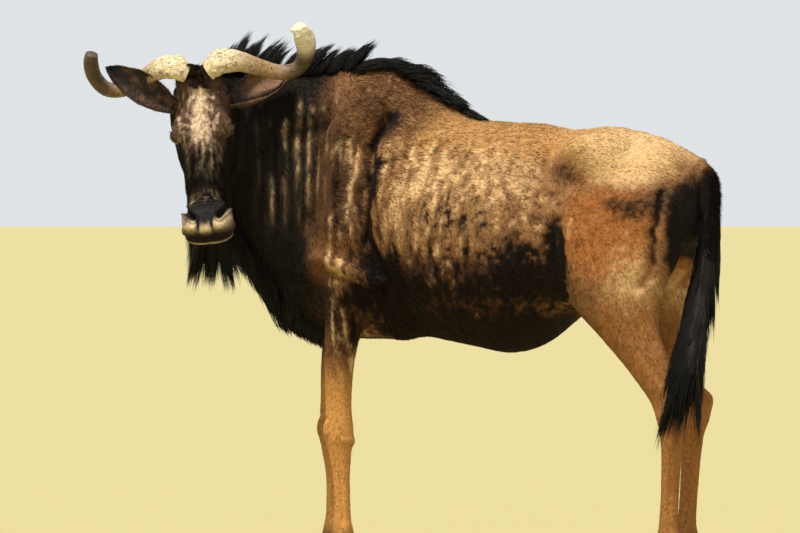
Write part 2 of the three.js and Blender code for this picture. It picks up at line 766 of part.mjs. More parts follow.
function tasselCore() {
  const tip = vec(872, -190, 500);
  const points = [880, 780, 690, 606].map((z) => vec(dockAt(z)[1], dockAt(z)[2], z));
  const radii = [22, 31, 38, 34, 8].map((r) => [r, r]);
  return solidOf(sweep([...points, tip], radii, vec(1, 0, 0), 6));
}

// A horn's path: out from the middle of the head, up from the poll, along the face, half depth, half height
const HORN = [
  [28, 84, 16, 33, 22],
  [62, 100, 4, 37, 25],
  [108, 84, -6, 32, 21],
  [160, 42, -10, 26, 17],
  [212, 12, -8, 22, 18],
  [258, 16, -10, 20, 20],
  [286, 50, -26, 20, 20],
  [291, 94, -44, 19, 20],
  [279, 134, -60, 14, 14],
];
const BLUNT = 1.5; // the left horn's tip is broken off and broad
const RIGHT_HORN_SHARE = 0.95; // the right horn's tip is worn shorter
const RIGHT_HORN_REACH = 0.97; // and it reaches out a little less
function horn(side) {
  const end = side > 0 ? RIGHT_HORN_SHARE : 1;
  const reach = side > 0 ? RIGHT_HORN_REACH : -1;
  const line = new THREE.CatmullRomCurve3(HORN.map(([o, u, a]) => headPoint(a, reach * o, u)));
  const shares = Array.from({ length: HORN_LENGTH_STEPS + 1 }, (_, i) => (end * i) / HORN_LENGTH_STEPS);
  const points = shares.map((share) => line.getPoint(share));
  const radiusAt = smoothTable(HORN.map((row, i) => [i / (HORN.length - 1), row[3], row[4]]));
  const radii = shares.map((share) => {
    const wider = side < 0 ? lerp(1, BLUNT, clamp(share * 4 - 2.7, 0, 1)) : 1;
    return radiusAt(share).slice(1).map((r) => r * wider);
  });
  return solidOf(sweep(points, radii, headAlong, HORN_SIDES));
}

// Ears: a leaf-shaped shell with its cup facing forwards
const EAR_LENGTH = 222;
const EAR_WIDTH = 44; // half
const EAR_DEPTH = 27; // half
const EAR_WALL = 6;
const EAR_OUTLINE = [
  [0, 0],
  [10, 0.42],
  [45, 0.78],
  [95, 1],
  [145, 0.92],
  [188, 0.6],
  [212, 0.26],
  [EAR_LENGTH, 0],
];
function leaf(shrink) {
  const outline = EAR_OUTLINE.map(([along, w]) => {
    const inset = shrink * (1 - (2 * along) / EAR_LENGTH);
    return new THREE.Vector2(Math.max(0, w * EAR_WIDTH - (w > 0 ? shrink : 0)), along + inset);
  });
  return new THREE.LatheGeometry(outline, 10);
}
function ear(root, way, opening) {
  const cup = opening.clone().addScaledVector(way, -opening.dot(way)).normalize();
  const wide = way.clone().cross(cup);
  const place = new THREE.Matrix4().makeBasis(wide, way, cup).setPosition(root);
  const flatten = new THREE.Matrix4().makeScale(1, 1, EAR_DEPTH / EAR_WIDTH);
  const shell = leaf(0).applyMatrix4(flatten);
  const hollow = leaf(EAR_WALL).applyMatrix4(flatten).translate(0, 4, EAR_DEPTH * 0.62);
  return solidOf(shell.applyMatrix4(place)).subtract(solidOf(hollow.applyMatrix4(place)));
}
const earRoot = (side) => headPoint(80, side * 68, 14);
const earWays = {
  right: headWay(-0.44, 1, 0.7),
  left: headWay(-0.62, -0.8, -0.25),
};

// A hoof claw: a wedge with a flat sole, longer towards the toe
function claw(x, y, inward) {
  const shape = (z) => {
    const share = z / HOOF_TOP;
    return {
      long: lerp(CLAW_LENGTH, 62, share) / 2,
      wide: lerp(CLAW_WIDTH, 37, share) / 2,
      shift: lerp(-16, 2, share),
    };
  };
  const levels = [0, 10, HOOF_TOP - GAP];
  const sides = 10;
  const places = [];
  for (const z of levels) {
    const { long, wide, shift } = shape(Math.max(z, 1));
    const tuck = z === 0 ? 0.96 : 1;
    for (let s = 0; s < sides; s++) {
      const angle = (s / sides) * 2 * Math.PI;
      const point = 0.5 - 0.5 * Math.cos(angle); // 0 at the heel, 1 at the toe
      const flank = Math.sin(angle) * (1 - 0.45 * point ** 2);
      const inner = Math.sign(flank) === inward ? 0.78 : 1;
      places.push(x + shift + long * tuck * Math.cos(angle), y + wide * tuck * flank * inner, z);
    }
  }
  const faces = [];
  for (let i = 0; i < levels.length - 1; i++)
    for (let s = 0; s < sides; s++) {
      const a = i * sides + s;
      const b = i * sides + ((s + 1) % sides);
      faces.push(a, b, b + sides, a, b + sides, a + sides);
    }
  const centre = places.length / 3;
  places.push(x, y, 0, x, y, HOOF_TOP - GAP);
  const top = (levels.length - 1) * sides;
  for (let s = 0; s < sides; s++) {
    const next = (s + 1) % sides;
    faces.push(centre, next, s, centre + 1, top + s, top + next);
  }
  const geometry = new THREE.BufferGeometry();
  geometry.setAttribute("position", new THREE.Float32BufferAttribute(places, 3));
  geometry.setIndex(faces);
  return solidOf(geometry);
}

// Where a leg's middle runs at a height, after its stance
function legMiddle(rows, side, stance, z) {
  const [, cx, cy] = smoothTable(rows)(z);
  return vec(cx + lerp(stance[0], stance[1], (rows[0][0] - z) / rows[0][0]), side * cy, z);
}

// A dewclaw behind the fetlock
function dewclaw(rows, side, stance, offset) {
  const at = legMiddle(rows, side, stance, 122);
  const root = at.clone().add(vec(14, offset, 6));
  const tip = at.clone().add(vec(52, offset * 1.25, -26));
  const points = [root, root.clone().lerp(tip, 0.6), tip];
  return solidOf(sweep(points, [[14, 14], [13, 12], [7, 6]], vec(0, 1, 0), 5));
}

// A ridge round the eye for each lid
function lid(side, from, to) {
  const centre = headPoint(EYE_ALONG, side * EYE_OUT, EYE_UP);
  const look = headWay(0.28, side * 1, 0.3);
  const across = headAlong.clone().addScaledVector(look, -headAlong.dot(look)).normalize();
  const over = look.clone().cross(across).multiplyScalar(side);
  const points = [];
  const steps = 7;
  for (let i = 0; i <= steps; i++) {
    const angle = radians(lerp(from, to, i / steps));
    const p = centre.clone().addScaledVector(look, 10.5);
    p.addScaledVector(across, Math.cos(angle) * 22).addScaledVector(over, Math.sin(angle) * 17.5);
    points.push(p);
  }
  const radii = points.map((_, i) => {
    const full = Math.sin((Math.PI * (i + 0.6)) / (steps + 1.2));
    return [3.2 + 3.6 * full, 3 + 3 * full];
  });
  return solidOf(sweep(points, radii, look, 6));
}

function ball(centre, radius, wide = 10, high = 7) {
  return solidOf(new THREE.SphereGeometry(radius, wide, high).translate(centre.x, centre.y, centre.z));
}

// An ellipsoid set in the head's own axes, used for the nostrils
function headPit(along, out, up, radii, turn) {
  const pit = new THREE.SphereGeometry(1, 12, 8).scale(...radii).rotateZ(turn).translate(out, along, up);
  return solidOf(pit.applyMatrix4(headFrame));
}

// The gap between the lips: a thin plate along the mouth, as deep as the groove
function mouthLine() {
  const line = new THREE.CatmullRomCurve3([
    headPoint(362, 0, -50),
    headPoint(400, 0, -38),
    headPoint(450, 0, -22),
    headPoint(500, 0, -9),
    headPoint(535, 0, -6),
  ]);
  const points = line.getPoints(8);
  const inner = (x, y, z) => head(x, y, z) + 9;
  const plate = solidOf(sweep(points, points.map(() => [95, 2.2]), headOut, 4));
  return plate.subtract(headSurface(inner, [22, 30, 24]));
}

// A field near the head becomes a surface on a grid in the head's own axes
function headSurface(field, step) {
  const own = (out, along, up) => {
    const p = headPoint(along, out, up);
    return field(p.x, p.y, p.z);
  };
  const wide = 9.5 * step[0];
  return solidOf(surfaceOf(own, [-wide, -110, -320], [wide, 560, 130], step).applyMatrix4(headFrame));
}

// Colours of the finishes
const FINISHES = {
  coat: [0x4a3524, 0.8],
  face: [0x241d18, 0.8],
  horn: [0xb99a66, 0.55],
  hoof: [0x1c1a18, 0.5],
  eye: [0x120c08, 0.12],
};
const group = new THREE.Group();
function addNode(name, solid, finish) {
  const [color, roughness] = FINISHES[finish];
  const material = new THREE.MeshStandardMaterial({ color, roughness });
  const mesh = new THREE.Mesh(geometryOf(largest(solid)), material);
  mesh.name = name;
  group.add(mesh);
}

// The torso, with the shoulders and haunches down to where the legs are parted off
function makeTorso() {
  const field = (x, y, z) => {
    let d = Math.max(body(x, y, z), neckCut.height(x, y, z) - CUT_OVERRUN);
    for (const box of Object.values(legCuts)) d = Math.max(d, inLegBox(box, x, y, z) - CUT_OVERRUN);
    return d;
  };
  let torso = solidOf(surfaceOf(field, [-480, -330, 548], [1040, 330, 1460], [70, 52, 54]));
  torso = joinAll([torso, withersCore(), ...maneOfWithers()]);
  torso = torso.subtract(neckCut.ahead());
  for (const [low, high] of Object.values(legCuts)) {
    torso = torso.subtract(blockBetween(low, [high[0], high[1], high[2] + GAP / 2]));
  }
  addNode("torso", torso, "coat");
  return torso;
}

const horns = { right: horn(1), left: horn(-1) };
const ears = {
  right: ear(earRoot(1), earWays.right, headWay(0.25, 0, 1)),
  left: ear(earRoot(-1), earWays.left, headWay(0.25, 0, 1)),
};

function makeNeck(clear) {
  const field = (x, y, z) =>
    Math.max(body(x, y, z), -neckCut.height(x, y, z) - CUT_OVERRUN, headCut.height(x, y, z) - CUT_OVERRUN);
  const skin = solidOf(surfaceOf(field, [-640, -480, 600], [0, 240, 1460], [40, 40, 42]));
  const flesh = skin.subtract(neckCut.behind()).subtract(headCut.ahead());
  const hair = joinAll([maneCore(), throatCore(), ...maneOfNeck(), ...beardOfThroat()]).subtract(clear);
  addNode("neck", flesh.add(hair.subtract(neckCut.behind()).subtract(headCut.ahead())), "coat");
  return flesh;
}

function makeHead(clear, neckFlesh) {
  const field = (x, y, z) => Math.max(flesh(x, y, z), -headCut.height(x, y, z) - CUT_OVERRUN);
  let mesh = headSurface(field, HEAD_STEP);
  const around = swollen(mesh);
  const hair = joinAll([jawCore(), ...forelock(), ...beardOfJaw()]).subtract(clear);
  mesh = joinAll([mesh, lid(1, 12, 168), lid(-1, 12, 168), lid(1, 192, 348), lid(-1, 192, 348)]);
  mesh = mesh.add(hair);
  for (const side of [1, -1]) {
    mesh = mesh.subtract(headPit(455, side * 46, 40, [11, 26, 20], side * 0.55));
    mesh = mesh.subtract(ball(headPoint(EYE_ALONG, side * EYE_OUT, EYE_UP), EYE_RADIUS + GAP));
  }
  mesh = mesh.subtract(mouthLine()).subtract(headCut.behind());
  addNode("head", mesh, "face");
  for (const [name, side] of [["right", 1], ["left", -1]]) {
    addNode(`horn_${name}`, horns[name].subtract(around), "horn");
    const shell = ears[name].subtract(around).subtract(swollen(neckFlesh)).subtract(swollen(horns[name]));
    addNode(`ear_${name}`, shell, "face");
    addNode(`eye_${name}`, ball(headPoint(EYE_ALONG, side * EYE_OUT, EYE_UP), EYE_RADIUS), "eye");
  }
}

// The tail hangs beside the left hind leg, clear of it
function makeTail(torso, leg) {
  const bone = solidOf(surfaceOf(dock, [800, -230, 560], [1000, 60, 1200], [14, 14, 24]));
  const tail = joinAll([bone, tasselCore(), ...tassel()]).subtract(swollen(torso)).subtract(swollen(leg));
  addNode("tail", tail, "coat");
}

function makeLeg(name) {
  const rows = name.startsWith("front") ? FORELEG : HINDLEG;
  const side = name.endsWith("left") ? -1 : 1;
  const stance = STANCE[name];
  const [low, high] = legCuts[name];
  const field = (x, y, z) => {
    const above = -inLegBox([low, high], x, y, z) - CUT_OVERRUN;
    return Math.max(legs[name](x, y, z), flesh(x, y, z), above);
  };
  const box = [[low[0] - 30, low[1] - 30, -30], [high[0] + 30, high[1] + 30, high[2] + 60]];
  let leg = solidOf(surfaceOf(field, ...box, [22, 22, 41]));
  const slab = (from, to) => blockBetween([low[0] - 60, low[1] - 60, from], [high[0] + 60, high[1] + 60, to]);
  leg = leg.subtract(slab(high[2] - GAP / 2, 900)).subtract(slab(-50, HOOF_TOP));
  const foot = legMiddle(rows, side, stance, HOOF_TOP);
  for (const [which, way] of [["inner", -1], ["outer", 1]]) {
    const lateral = side * way;
    const dew = dewclaw(rows, side, stance, lateral * 19);
    addNode(`dewclaw_${name}_${which}`, dew.subtract(leg), "hoof");
    addNode(`hoof_${name}_${which}`, claw(foot.x, foot.y + lateral * CLAW_SPREAD, -lateral), "hoof");
  }
  addNode(`leg_${name}`, leg, "coat");
  return leg;
}

const torsoSolid = makeTorso();
const legSolids = Object.fromEntries(Object.keys(legCuts).map((name) => [name, makeLeg(name)]));
makeTail(torsoSolid, legSolids.hind_left);
const clear = joinAll([...Object.values(horns), ...Object.values(ears)].map((solid) => swollen(solid)));
makeHead(clear, makeNeck(clear));

// The frame's origin is under the middle of the animal, on the ground
const bounds = new THREE.Box3().setFromObject(group);
const middle = bounds.getCenter(vec(0, 0, 0));
group.position.set(-middle.x, -middle.y, -bounds.min.z);

export default group;
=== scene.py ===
"""The looks of a life-size standing wildebeest bull: skin, coat, mane, tassel, horns, hooves and eyes."""

import math

import bmesh
import bpy
import numpy as np
from mathutils import Matrix, Vector


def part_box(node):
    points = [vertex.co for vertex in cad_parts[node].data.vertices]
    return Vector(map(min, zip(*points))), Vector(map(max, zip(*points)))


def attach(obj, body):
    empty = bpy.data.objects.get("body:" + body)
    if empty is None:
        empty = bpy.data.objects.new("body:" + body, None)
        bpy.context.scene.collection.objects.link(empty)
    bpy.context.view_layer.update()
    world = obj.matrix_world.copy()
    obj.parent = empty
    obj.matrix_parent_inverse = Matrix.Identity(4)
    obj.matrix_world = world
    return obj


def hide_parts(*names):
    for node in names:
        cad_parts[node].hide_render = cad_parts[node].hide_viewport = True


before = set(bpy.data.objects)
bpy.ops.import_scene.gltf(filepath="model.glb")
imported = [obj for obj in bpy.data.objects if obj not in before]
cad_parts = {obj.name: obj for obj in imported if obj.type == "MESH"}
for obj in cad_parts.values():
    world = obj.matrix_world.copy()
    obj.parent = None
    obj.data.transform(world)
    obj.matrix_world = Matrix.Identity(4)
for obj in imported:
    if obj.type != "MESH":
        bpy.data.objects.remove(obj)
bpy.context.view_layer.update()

# Sizes are in metres, in the animal's own plan: it faces -X, its right side is towards +Y, and +Z is up.
NECK_ROOT_X = -0.1
NECK_BEND_RADIUS = 0.4
NECK_CREST = 0.55
# How far each form runs out past the two ends of its table
TRUNK_CAP = (0.092, 0.016)
NECK_CAP = (0.04, 0.026)
HEAD_CAP = (0.026, 0.03)
LEG_CAP = (0.01, 0.06)
DOCK_CAP = 0.016
# How wide the blend is where each form runs into the next
BLEND = {
    "neck": 0.09,
    "muscle": 0.046,
    "front": 0.06,
    "hind": 0.07,
    "head": 0.044,
    "lobe": 0.026,
    "dock": 0.024,
}
POLL = Vector((-0.462, -0.262, 1.352))
HEAD_HEADING = math.radians(112.5)
HEAD_ROLL = math.radians(6)
HEAD_PITCH = math.radians(55)
EYE_RADIUS = 0.021
EYE_PLACE = (0.18, 0.066, 0.03)
HOOF_TOP = 0.064
CLAW_LENGTH = 0.092
CLAW_WIDTH = 0.04
CLAW_SPREAD = 0.022
FAR_SHOULDER_SWING = -0.36
# The trunk: x, height of the back, height of the belly, half width, how narrow its ridge is
TRUNK = [
    (-0.33, 1.24, 0.705, 0.112, 0.3),
    (-0.22, 1.335, 0.668, 0.15, 0.5),
    (-0.1, 1.392, 0.69, 0.188, 0.9),
    (0, 1.384, 0.698, 0.212, 1.0),
    (0.135, 1.322, 0.672, 0.242, 0.7),
    (0.235, 1.268, 0.654, 0.256, 0.35),
    (0.33, 1.254, 0.64, 0.256, 0.2),
    (0.415, 1.251, 0.662, 0.246, 0.2),
    (0.51, 1.234, 0.73, 0.222, 0.25),
    (0.62, 1.241, 0.8, 0.2, 0.3),
    (0.735, 1.217, 0.85, 0.174, 0.25),
    (0.805, 1.188, 0.9, 0.142, 0.2),
    (0.858, 1.15, 0.95, 0.096, 0.1),
]
# The neck: degrees round its bend, height of the crest, height of the throat, half width
NECK = [
    (-14, 1.388, 0.69, 0.128),
    (0, 1.394, 0.702, 0.138),
    (16, 1.396, 0.742, 0.132),
    (34, 1.398, 0.815, 0.118),
    (50, 1.4, 0.93, 0.098),
    (62, 1.395, 1.04, 0.08),
    (72, 1.38, 1.092, 0.064),
]
# The head: distance along the face, top and bottom of the section, half width
HEAD = [
    (0, 0.042, -0.072, 0.078),
    (0.07, 0.06, -0.112, 0.088),
    (0.15, 0.062, -0.132, 0.074),
    (0.23, 0.058, -0.122, 0.06),
    (0.31, 0.054, -0.098, 0.055),
    (0.38, 0.05, -0.074, 0.054),
    (0.425, 0.046, -0.064, 0.053),
    (0.462, 0.038, -0.054, 0.058),
]
# Each lobe of the head: along, out, up, and its three radii
HEAD_LOBES = {
    "occiput": (0.018, 0, 0.05, 0.052, 0.07, 0.034),
    "brow": (0.166, 0.053, 0.042, 0.044, 0.025, 0.022),
    "cheek": (0.17, 0.042, -0.058, 0.088, 0.027, 0.06),
    "bridge": (0.3, 0, 0.046, 0.13, 0.03, 0.018),
    "nose": (0.452, 0, 0.008, 0.048, 0.059, 0.042),
    "nostril": (0.444, 0.04, 0.02, 0.036, 0.025, 0.025),
    "upper_lip": (0.466, 0.028, -0.014, 0.026, 0.034, 0.022),
    "lower_lip": (0.436, 0, -0.05, 0.048, 0.044, 0.022),
}
# A foreleg: height, x, y, half length, half width
FORELEG = [
    (0.83, -0.052, 0.15, 0.08, 0.06),
    (0.76, -0.072, 0.146, 0.066, 0.054),
    (0.68, -0.092, 0.141, 0.052, 0.046),
    (0.6, -0.104, 0.136, 0.044, 0.038),
    (0.5, -0.108, 0.13, 0.038, 0.034),
    (0.425, -0.108, 0.127, 0.042, 0.038),
    (0.37, -0.106, 0.125, 0.033, 0.031),
    (0.3, -0.102, 0.124, 0.025, 0.024),
    (0.2, -0.1, 0.123, 0.026, 0.026),
    (0.15, -0.101, 0.123, 0.034, 0.033),
    (0.105, -0.114, 0.123, 0.028, 0.031),
    (0.056, -0.126, 0.123, 0.034, 0.038),
]
# A hind leg, the same way
HINDLEG = [
    (1.13, 0.715, 0.098, 0.15, 0.086),
    (1.01, 0.735, 0.118, 0.158, 0.092),
    (0.9, 0.722, 0.134, 0.158, 0.084),
    (0.815, 0.708, 0.14, 0.146, 0.072),
    (0.75, 0.722, 0.136, 0.114, 0.06),
    (0.69, 0.752, 0.13, 0.088, 0.05),
    (0.62, 0.796, 0.125, 0.068, 0.041),
    (0.56, 0.833, 0.121, 0.056, 0.035),
    (0.52, 0.861, 0.119, 0.056, 0.034),
    (0.475, 0.868, 0.118, 0.046, 0.035),
    (0.425, 0.866, 0.117, 0.033, 0.029),
    (0.3, 0.862, 0.116, 0.027, 0.024),
    (0.2, 0.858, 0.116, 0.028, 0.026),
    (0.15, 0.856, 0.116, 0.036, 0.033),
    (0.105, 0.842, 0.116, 0.029, 0.031),
    (0.056, 0.828, 0.116, 0.034, 0.038),
]
# How far each leg stands from that plan along the body: at its top, and at its foot
STANCE = {
    "front_left": (-0.012, -0.012),
    "front_right": (-0.152, -0.154),
    "hind_left": (-0.026, -0.04),
    "hind_right": (-0.048, -0.086),
}
# Muscles on each side: x, y, z, lean in degrees, half length, half width, half depth
MUSCLES = {
    "shoulder_blade": (-0.108, 0.128, 1.15, 58, 0.205, 0.062, 0.096),
    "upper_arm": (-0.098, 0.16, 0.93, 42, 0.14, 0.056, 0.084),
    "elbow": (-0.034, 0.156, 0.838, 20, 0.062, 0.05, 0.05),
    "hip": (0.61, 0.15, 1.15, 20, 0.11, 0.058, 0.066),
    "buttock": (0.778, 0.092, 1.03, 80, 0.12, 0.072, 0.084),
}
# The tail's bony part: height, x, y, radius
DOCK = [
    (1.146, 0.846, 0, 0.034),
    (1.112, 0.88, 0, 0.03),
    (1.05, 0.898, -0.008, 0.025),
    (0.95, 0.904, -0.034, 0.022),
    (0.83, 0.91, -0.08, 0.02),
    (0.7, 0.906, -0.132, 0.018),
    (0.6, 0.904, -0.165, 0.014),
]
# A horn: out, up, along the face, half depth, half height
HORN = [
    (0.028, 0.084, 0.016, 0.033, 0.022),
    (0.062, 0.1, 0.004, 0.037, 0.025),
    (0.108, 0.084, -0.006, 0.032, 0.021),
    (0.16, 0.042, -0.01, 0.026, 0.017),
    (0.212, 0.012, -0.008, 0.022, 0.018),
    (0.258, 0.016, -0.01, 0.02, 0.02),
    (0.286, 0.05, -0.026, 0.02, 0.02),
    (0.291, 0.094, -0.044, 0.019, 0.02),
    (0.279, 0.134, -0.06, 0.014, 0.014),
]

# The left horn's tip is broken off and this much broader
BLUNT_TIP = 1.5
# The right horn's tip is worn shorter, and it reaches out a little less
RIGHT_HORN_SHARE = 0.95
RIGHT_HORN_REACH = 0.97
EAR_LENGTH = 0.222
EAR_HALF_WIDTH = 0.044
EAR_HALF_DEPTH = 0.027


def unit(v):
    return v / np.maximum(np.linalg.norm(v, axis=-1, keepdims=True), 1e-12)


def dot(a, b):
    return np.einsum("...i,...i->...", a, np.broadcast_to(b, a.shape))


def rise(value, low, high):
    """Goes smoothly from 0 at low to 1 at high."""
    t = np.clip((value - low) / (high - low), 0, 1)
    return t * t * (3 - 2 * t)


def mixed(a, b, share):
    return a + (b - a) * share


def hill(value, middle, width):
    """1 at the middle, falling off smoothly to both sides."""
    return np.exp(-(((value - middle) / width) ** 2))


def window(value, low, full, fading, gone):
    """Goes smoothly from 0 at low to 1 at full, and back from 1 at fading to 0 at gone."""
    return rise(value, low, full) * (1 - rise(value, fading, gone))


# The head's own axes: along the face, out to the animal's right, and up from the face
heading = Vector((-math.cos(HEAD_HEADING), -math.sin(HEAD_HEADING), 0))
head_out = Matrix.Rotation(HEAD_ROLL, 3, heading) @ heading.cross(Vector((0, 0, 1)))
head_along = Matrix.Rotation(-HEAD_PITCH, 3, head_out) @ heading
head_up = head_out.cross(head_along)
HEAD_AXES = np.array([head_along, head_out, head_up])


def head_point(along, out, up):
    return POLL + head_along * along + head_out * out + head_up * up


def head_way(along, out, up):
    return (head_point(along, out, up) - POLL).normalized()


def head_place(p):
    """Along, out and up of points in the head's own axes."""
    return np.moveaxis((p - np.array(POLL)) @ HEAD_AXES.T, -1, 0)


def head_points(along, out, up):
    """The same as head_point, for arrays."""
    return np.array(POLL) + np.stack(np.broadcast_arrays(along, out, up), -1) @ HEAD_AXES


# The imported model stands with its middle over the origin. Its eyes tell how far the plan was moved.
eye_middles = []
for node in ("eye_left", "eye_right"):
    low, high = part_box(node)
    eye_middles.append((Vector(low) + Vector(high)) / 2)
SHIFT = (eye_middles[0] + eye_middles[1]) / 2 - head_point(EYE_PLACE[0], 0, EYE_PLACE[2])


def smooth_rows(rows):
    """A table becomes a function that gives its other columns smoothly for an array of its first."""
    rows = np.array(sorted(rows), float)
    t, v = rows[:, 0], rows[:, 1:]
    before = np.maximum(np.arange(len(t)) - 1, 0)
    after = np.minimum(np.arange(len(t)) + 1, len(t) - 1)
    slopes = (v[after] - v[before]) / (t[after] - t[before])[:, None]

    def at(x):
        x = np.clip(x, t[0], t[-1])
        i = np.clip(np.searchsorted(t, x) - 1, 0, len(t) - 2)
        width = np.expand_dims(t[i + 1] - t[i], -1)
        u = (np.expand_dims(x - t[i], -1)) / width
        line = (2 * u**3 - 3 * u**2 + 1) * v[i] + (3 * u**2 - 2 * u**3) * v[i + 1]
        bend = (u**3 - 2 * u**2 + u) * slopes[i] + (u**3 - u**2) * slopes[i + 1]
        return x, np.moveaxis(line + bend * width, -1, 0)

    return at


def outside(a, b, c, ra, rb, rc):
    """About how far points lie outside an ellipsoid with these radii."""
    near = np.sqrt((a / ra) ** 2 + (b / rb) ** 2 + (c / rc) ** 2)
    steep = np.sqrt((a / ra**2) ** 2 + (b / rb**2) ** 2 + (c / rc**2) ** 2)
    return near * (near - 1) / np.maximum(steep, 1e-6)


def blend(a, b, reach):
    """The lower of two distances, blended where they are closer than the reach."""
    h = np.maximum(reach - np.abs(a - b), 0) / reach
    return np.minimum(a, b) - h * h * reach / 4


trunk_at = smooth_rows(TRUNK)
neck_at = smooth_rows(NECK)
head_at = smooth_rows(HEAD)
foreleg_at = smooth_rows(FORELEG)
hindleg_at = smooth_rows(HINDLEG)
dock_at = smooth_rows(DOCK)


def trunk(p):
    x, y, z = p.T
    at, (back, belly, half, ridge) = trunk_at(x)
    middle, depth = (back + belly) / 2, (back - belly) / 2
    up = np.maximum(0, (z - middle) / depth)
    over = x - at
    cap = np.where(over < 0, *TRUNK_CAP)
    return outside(y * (1 + ridge * up * up), z - middle, over, half, depth, cap)


def neck_place(p):
    """Where points lie along the bend of the neck, in degrees, and how far to its side."""
    ahead, out = NECK_ROOT_X - p[..., 0], NECK_BEND_RADIUS + p[..., 1]
    return np.degrees(np.arctan2(ahead, out)), np.hypot(ahead, out) - NECK_BEND_RADIUS


def neck_point(degrees, side, z):
    r, angle = NECK_BEND_RADIUS + side, np.radians(degrees)
    x, y = NECK_ROOT_X - r * np.sin(angle), r * np.cos(angle) - NECK_BEND_RADIUS
    return np.stack([x, y, z + 0 * angle], -1)


def neck_ways(degrees):
    """The ways out to the neck's side and back along it."""
    middle = neck_point(degrees, 0, 0)
    return neck_point(degrees, 1, 0) - middle, unit(neck_point(degrees - 1, 0, 0) - middle)


def neck(p):
    degrees, side = neck_place(p)
    at, (crest, throat, half) = neck_at(degrees)
    middle, depth = (crest + throat) / 2, (crest - throat) / 2
    up = np.maximum(0, (p[:, 2] - middle) / depth)
    over = np.radians(degrees - at) * NECK_BEND_RADIUS
    cap = np.where(over < 0, *NECK_CAP)
    return outside(side * (1 + NECK_CREST * up * up), p[:, 2] - middle, over, half, depth, cap)


def head(p):
    along, out, up = head_place(p)
    at, (top, bottom, half) = head_at(along)
    over = along - at
    d = outside(out, up - (top + bottom) / 2, over, half, (top - bottom) / 2, np.where(over < 0, *HEAD_CAP))
    for a, o, u, ra, ro, ru in HEAD_LOBES.values():
        d = blend(d, outside(along - a, np.abs(out) - o, up - u, ra, ro, ru), BLEND["lobe"])
    return d


LEGS = {
    "front_left": (FORELEG, foreleg_at, -1),
    "front_right": (FORELEG, foreleg_at, 1),
    "hind_left": (HINDLEG, hindleg_at, -1),
    "hind_right": (HINDLEG, hindleg_at, 1),
}


def leg_middle(name, z):
    """The level that a leg's table gives for heights, its middle there, and its two radii."""
    rows, at, side = LEGS[name]
    level, (cx, cy, long, wide) = at(z)
    top, foot = STANCE[name]
    return level, cx + mixed(top, foot, (rows[0][0] - level) / rows[0][0]), side * cy, long, wide


def leg(name, p):
    level, cx, cy, long, wide = leg_middle(name, p[:, 2])
    over = p[:, 2] - level
    return outside(p[:, 0] - cx, p[:, 1] - cy, over, long, wide, np.where(over < 0, *LEG_CAP))


def muscle_places():
    for side in (-1, 1):
        for cx, cy, cz, lean, *radii in MUSCLES.values():
            swing = (1.25 - cz) * FAR_SHOULDER_SWING if side > 0 and cx < 0 else 0
            c, s = math.cos(math.radians(lean)), math.sin(math.radians(lean))
            yield np.array([cx + swing, side * cy, cz]), c, s, radii


def dock(p):
    at, (cx, cy, radius) = dock_at(p[:, 2])
    return outside(p[:, 0] - cx, p[:, 1] - cy, p[:, 2] - at, radius, radius, DOCK_CAP)


def flesh(p):
    """Below zero inside the body. Every form is blended with the next as the solids are."""
    d = blend(trunk(p), neck(p), BLEND["neck"])
    for centre, c, s, (long, wide, deep) in muscle_places():
        dx, dy, dz = (p - centre).T
        d = blend(d, outside(dx * c + dz * s, dy, dz * c - dx * s, long, wide, deep), BLEND["muscle"])
    for name in LEGS:
        d = blend(d, leg(name, p), BLEND[name.split("_")[0]])
    d = blend(d, head(p), BLEND["head"])
    return blend(d, dock(p), BLEND["dock"])


def slope_of(field, p, probe=0.0006):
    steps = np.eye(3) * probe
    return np.stack([(field(p + s) - field(p - s)) / (2 * probe) for s in steps], -1)


# How deep the coat lies over the skin: on the body, neck, face and legs
COAT_DEPTH = {"body": 0.005, "neck": 0.007, "face": 0.0022, "legs": 0.003}


def head_share(p):
    """1 on the head, 0 on the neck behind it."""
    along = head_place(p)[0]
    return rise(along, 0.02, 0.08) * (1 - rise(head(p) - neck(p), 0.0, 0.03))


def coat_depth(p):
    depth = np.full(len(p), COAT_DEPTH["body"])
    degrees, _ = neck_place(p)
    depth = mixed(depth, COAT_DEPTH["neck"], rise(degrees, 0, 20) * rise(p[:, 2], 0.7, 0.9))
    depth = mixed(depth, COAT_DEPTH["legs"], 1 - rise(p[:, 2], 0.5, 0.75))
    return mixed(depth, COAT_DEPTH["face"], head_share(p))


def settle(p, reach=0.03):
    """Moves points onto the skin, which lies under the surface of the coat by the coat's depth."""
    way = slope_of(flesh, p)
    size = np.maximum(dot(way, way), 0.05)
    move = way * (-(flesh(p) + coat_depth(p)) / size)[:, None]
    far = np.linalg.norm(move, axis=1, keepdims=True)
    return p + move * np.minimum(1, reach / np.maximum(far, 1e-9))


# Large primes that stir the lumps of the noise
STIRS = (374761393, 668265263, 2147483647)
LAST_STIR = 1274126177
LOW_BITS = 0xFFFFFFFF


def grain(p, scale, seed=0):
    """Smooth noise from 0 to 1 at points, one lump to each 1 / scale."""
    q = p * scale + seed * 17.3
    base = np.floor(q).astype(np.int64)
    f = q - base
    f = f * f * (3 - 2 * f)
    total = 0
    for corner in np.ndindex(2, 2, 2):
        n = base + corner
        h = (sum(n[..., k] * stir for k, stir in enumerate(STIRS)) + seed * LAST_STIR) & LOW_BITS
        h = ((h ^ (h >> 13)) * LAST_STIR) & LOW_BITS
        value = ((h ^ (h >> 16)) & 0xFFFF) / 65535
        share = np.prod(np.where(np.array(corner) == 1, f, 1 - f), axis=-1)
        total = total + value * share
    return total


def lumps(p, scale, seed, drawn_out=1.0):
    """The same noise about zero, and where drawn_out is low, in streaks that run up and down."""
    return grain(p * np.array([1, 1, drawn_out]), scale, seed) - 0.5


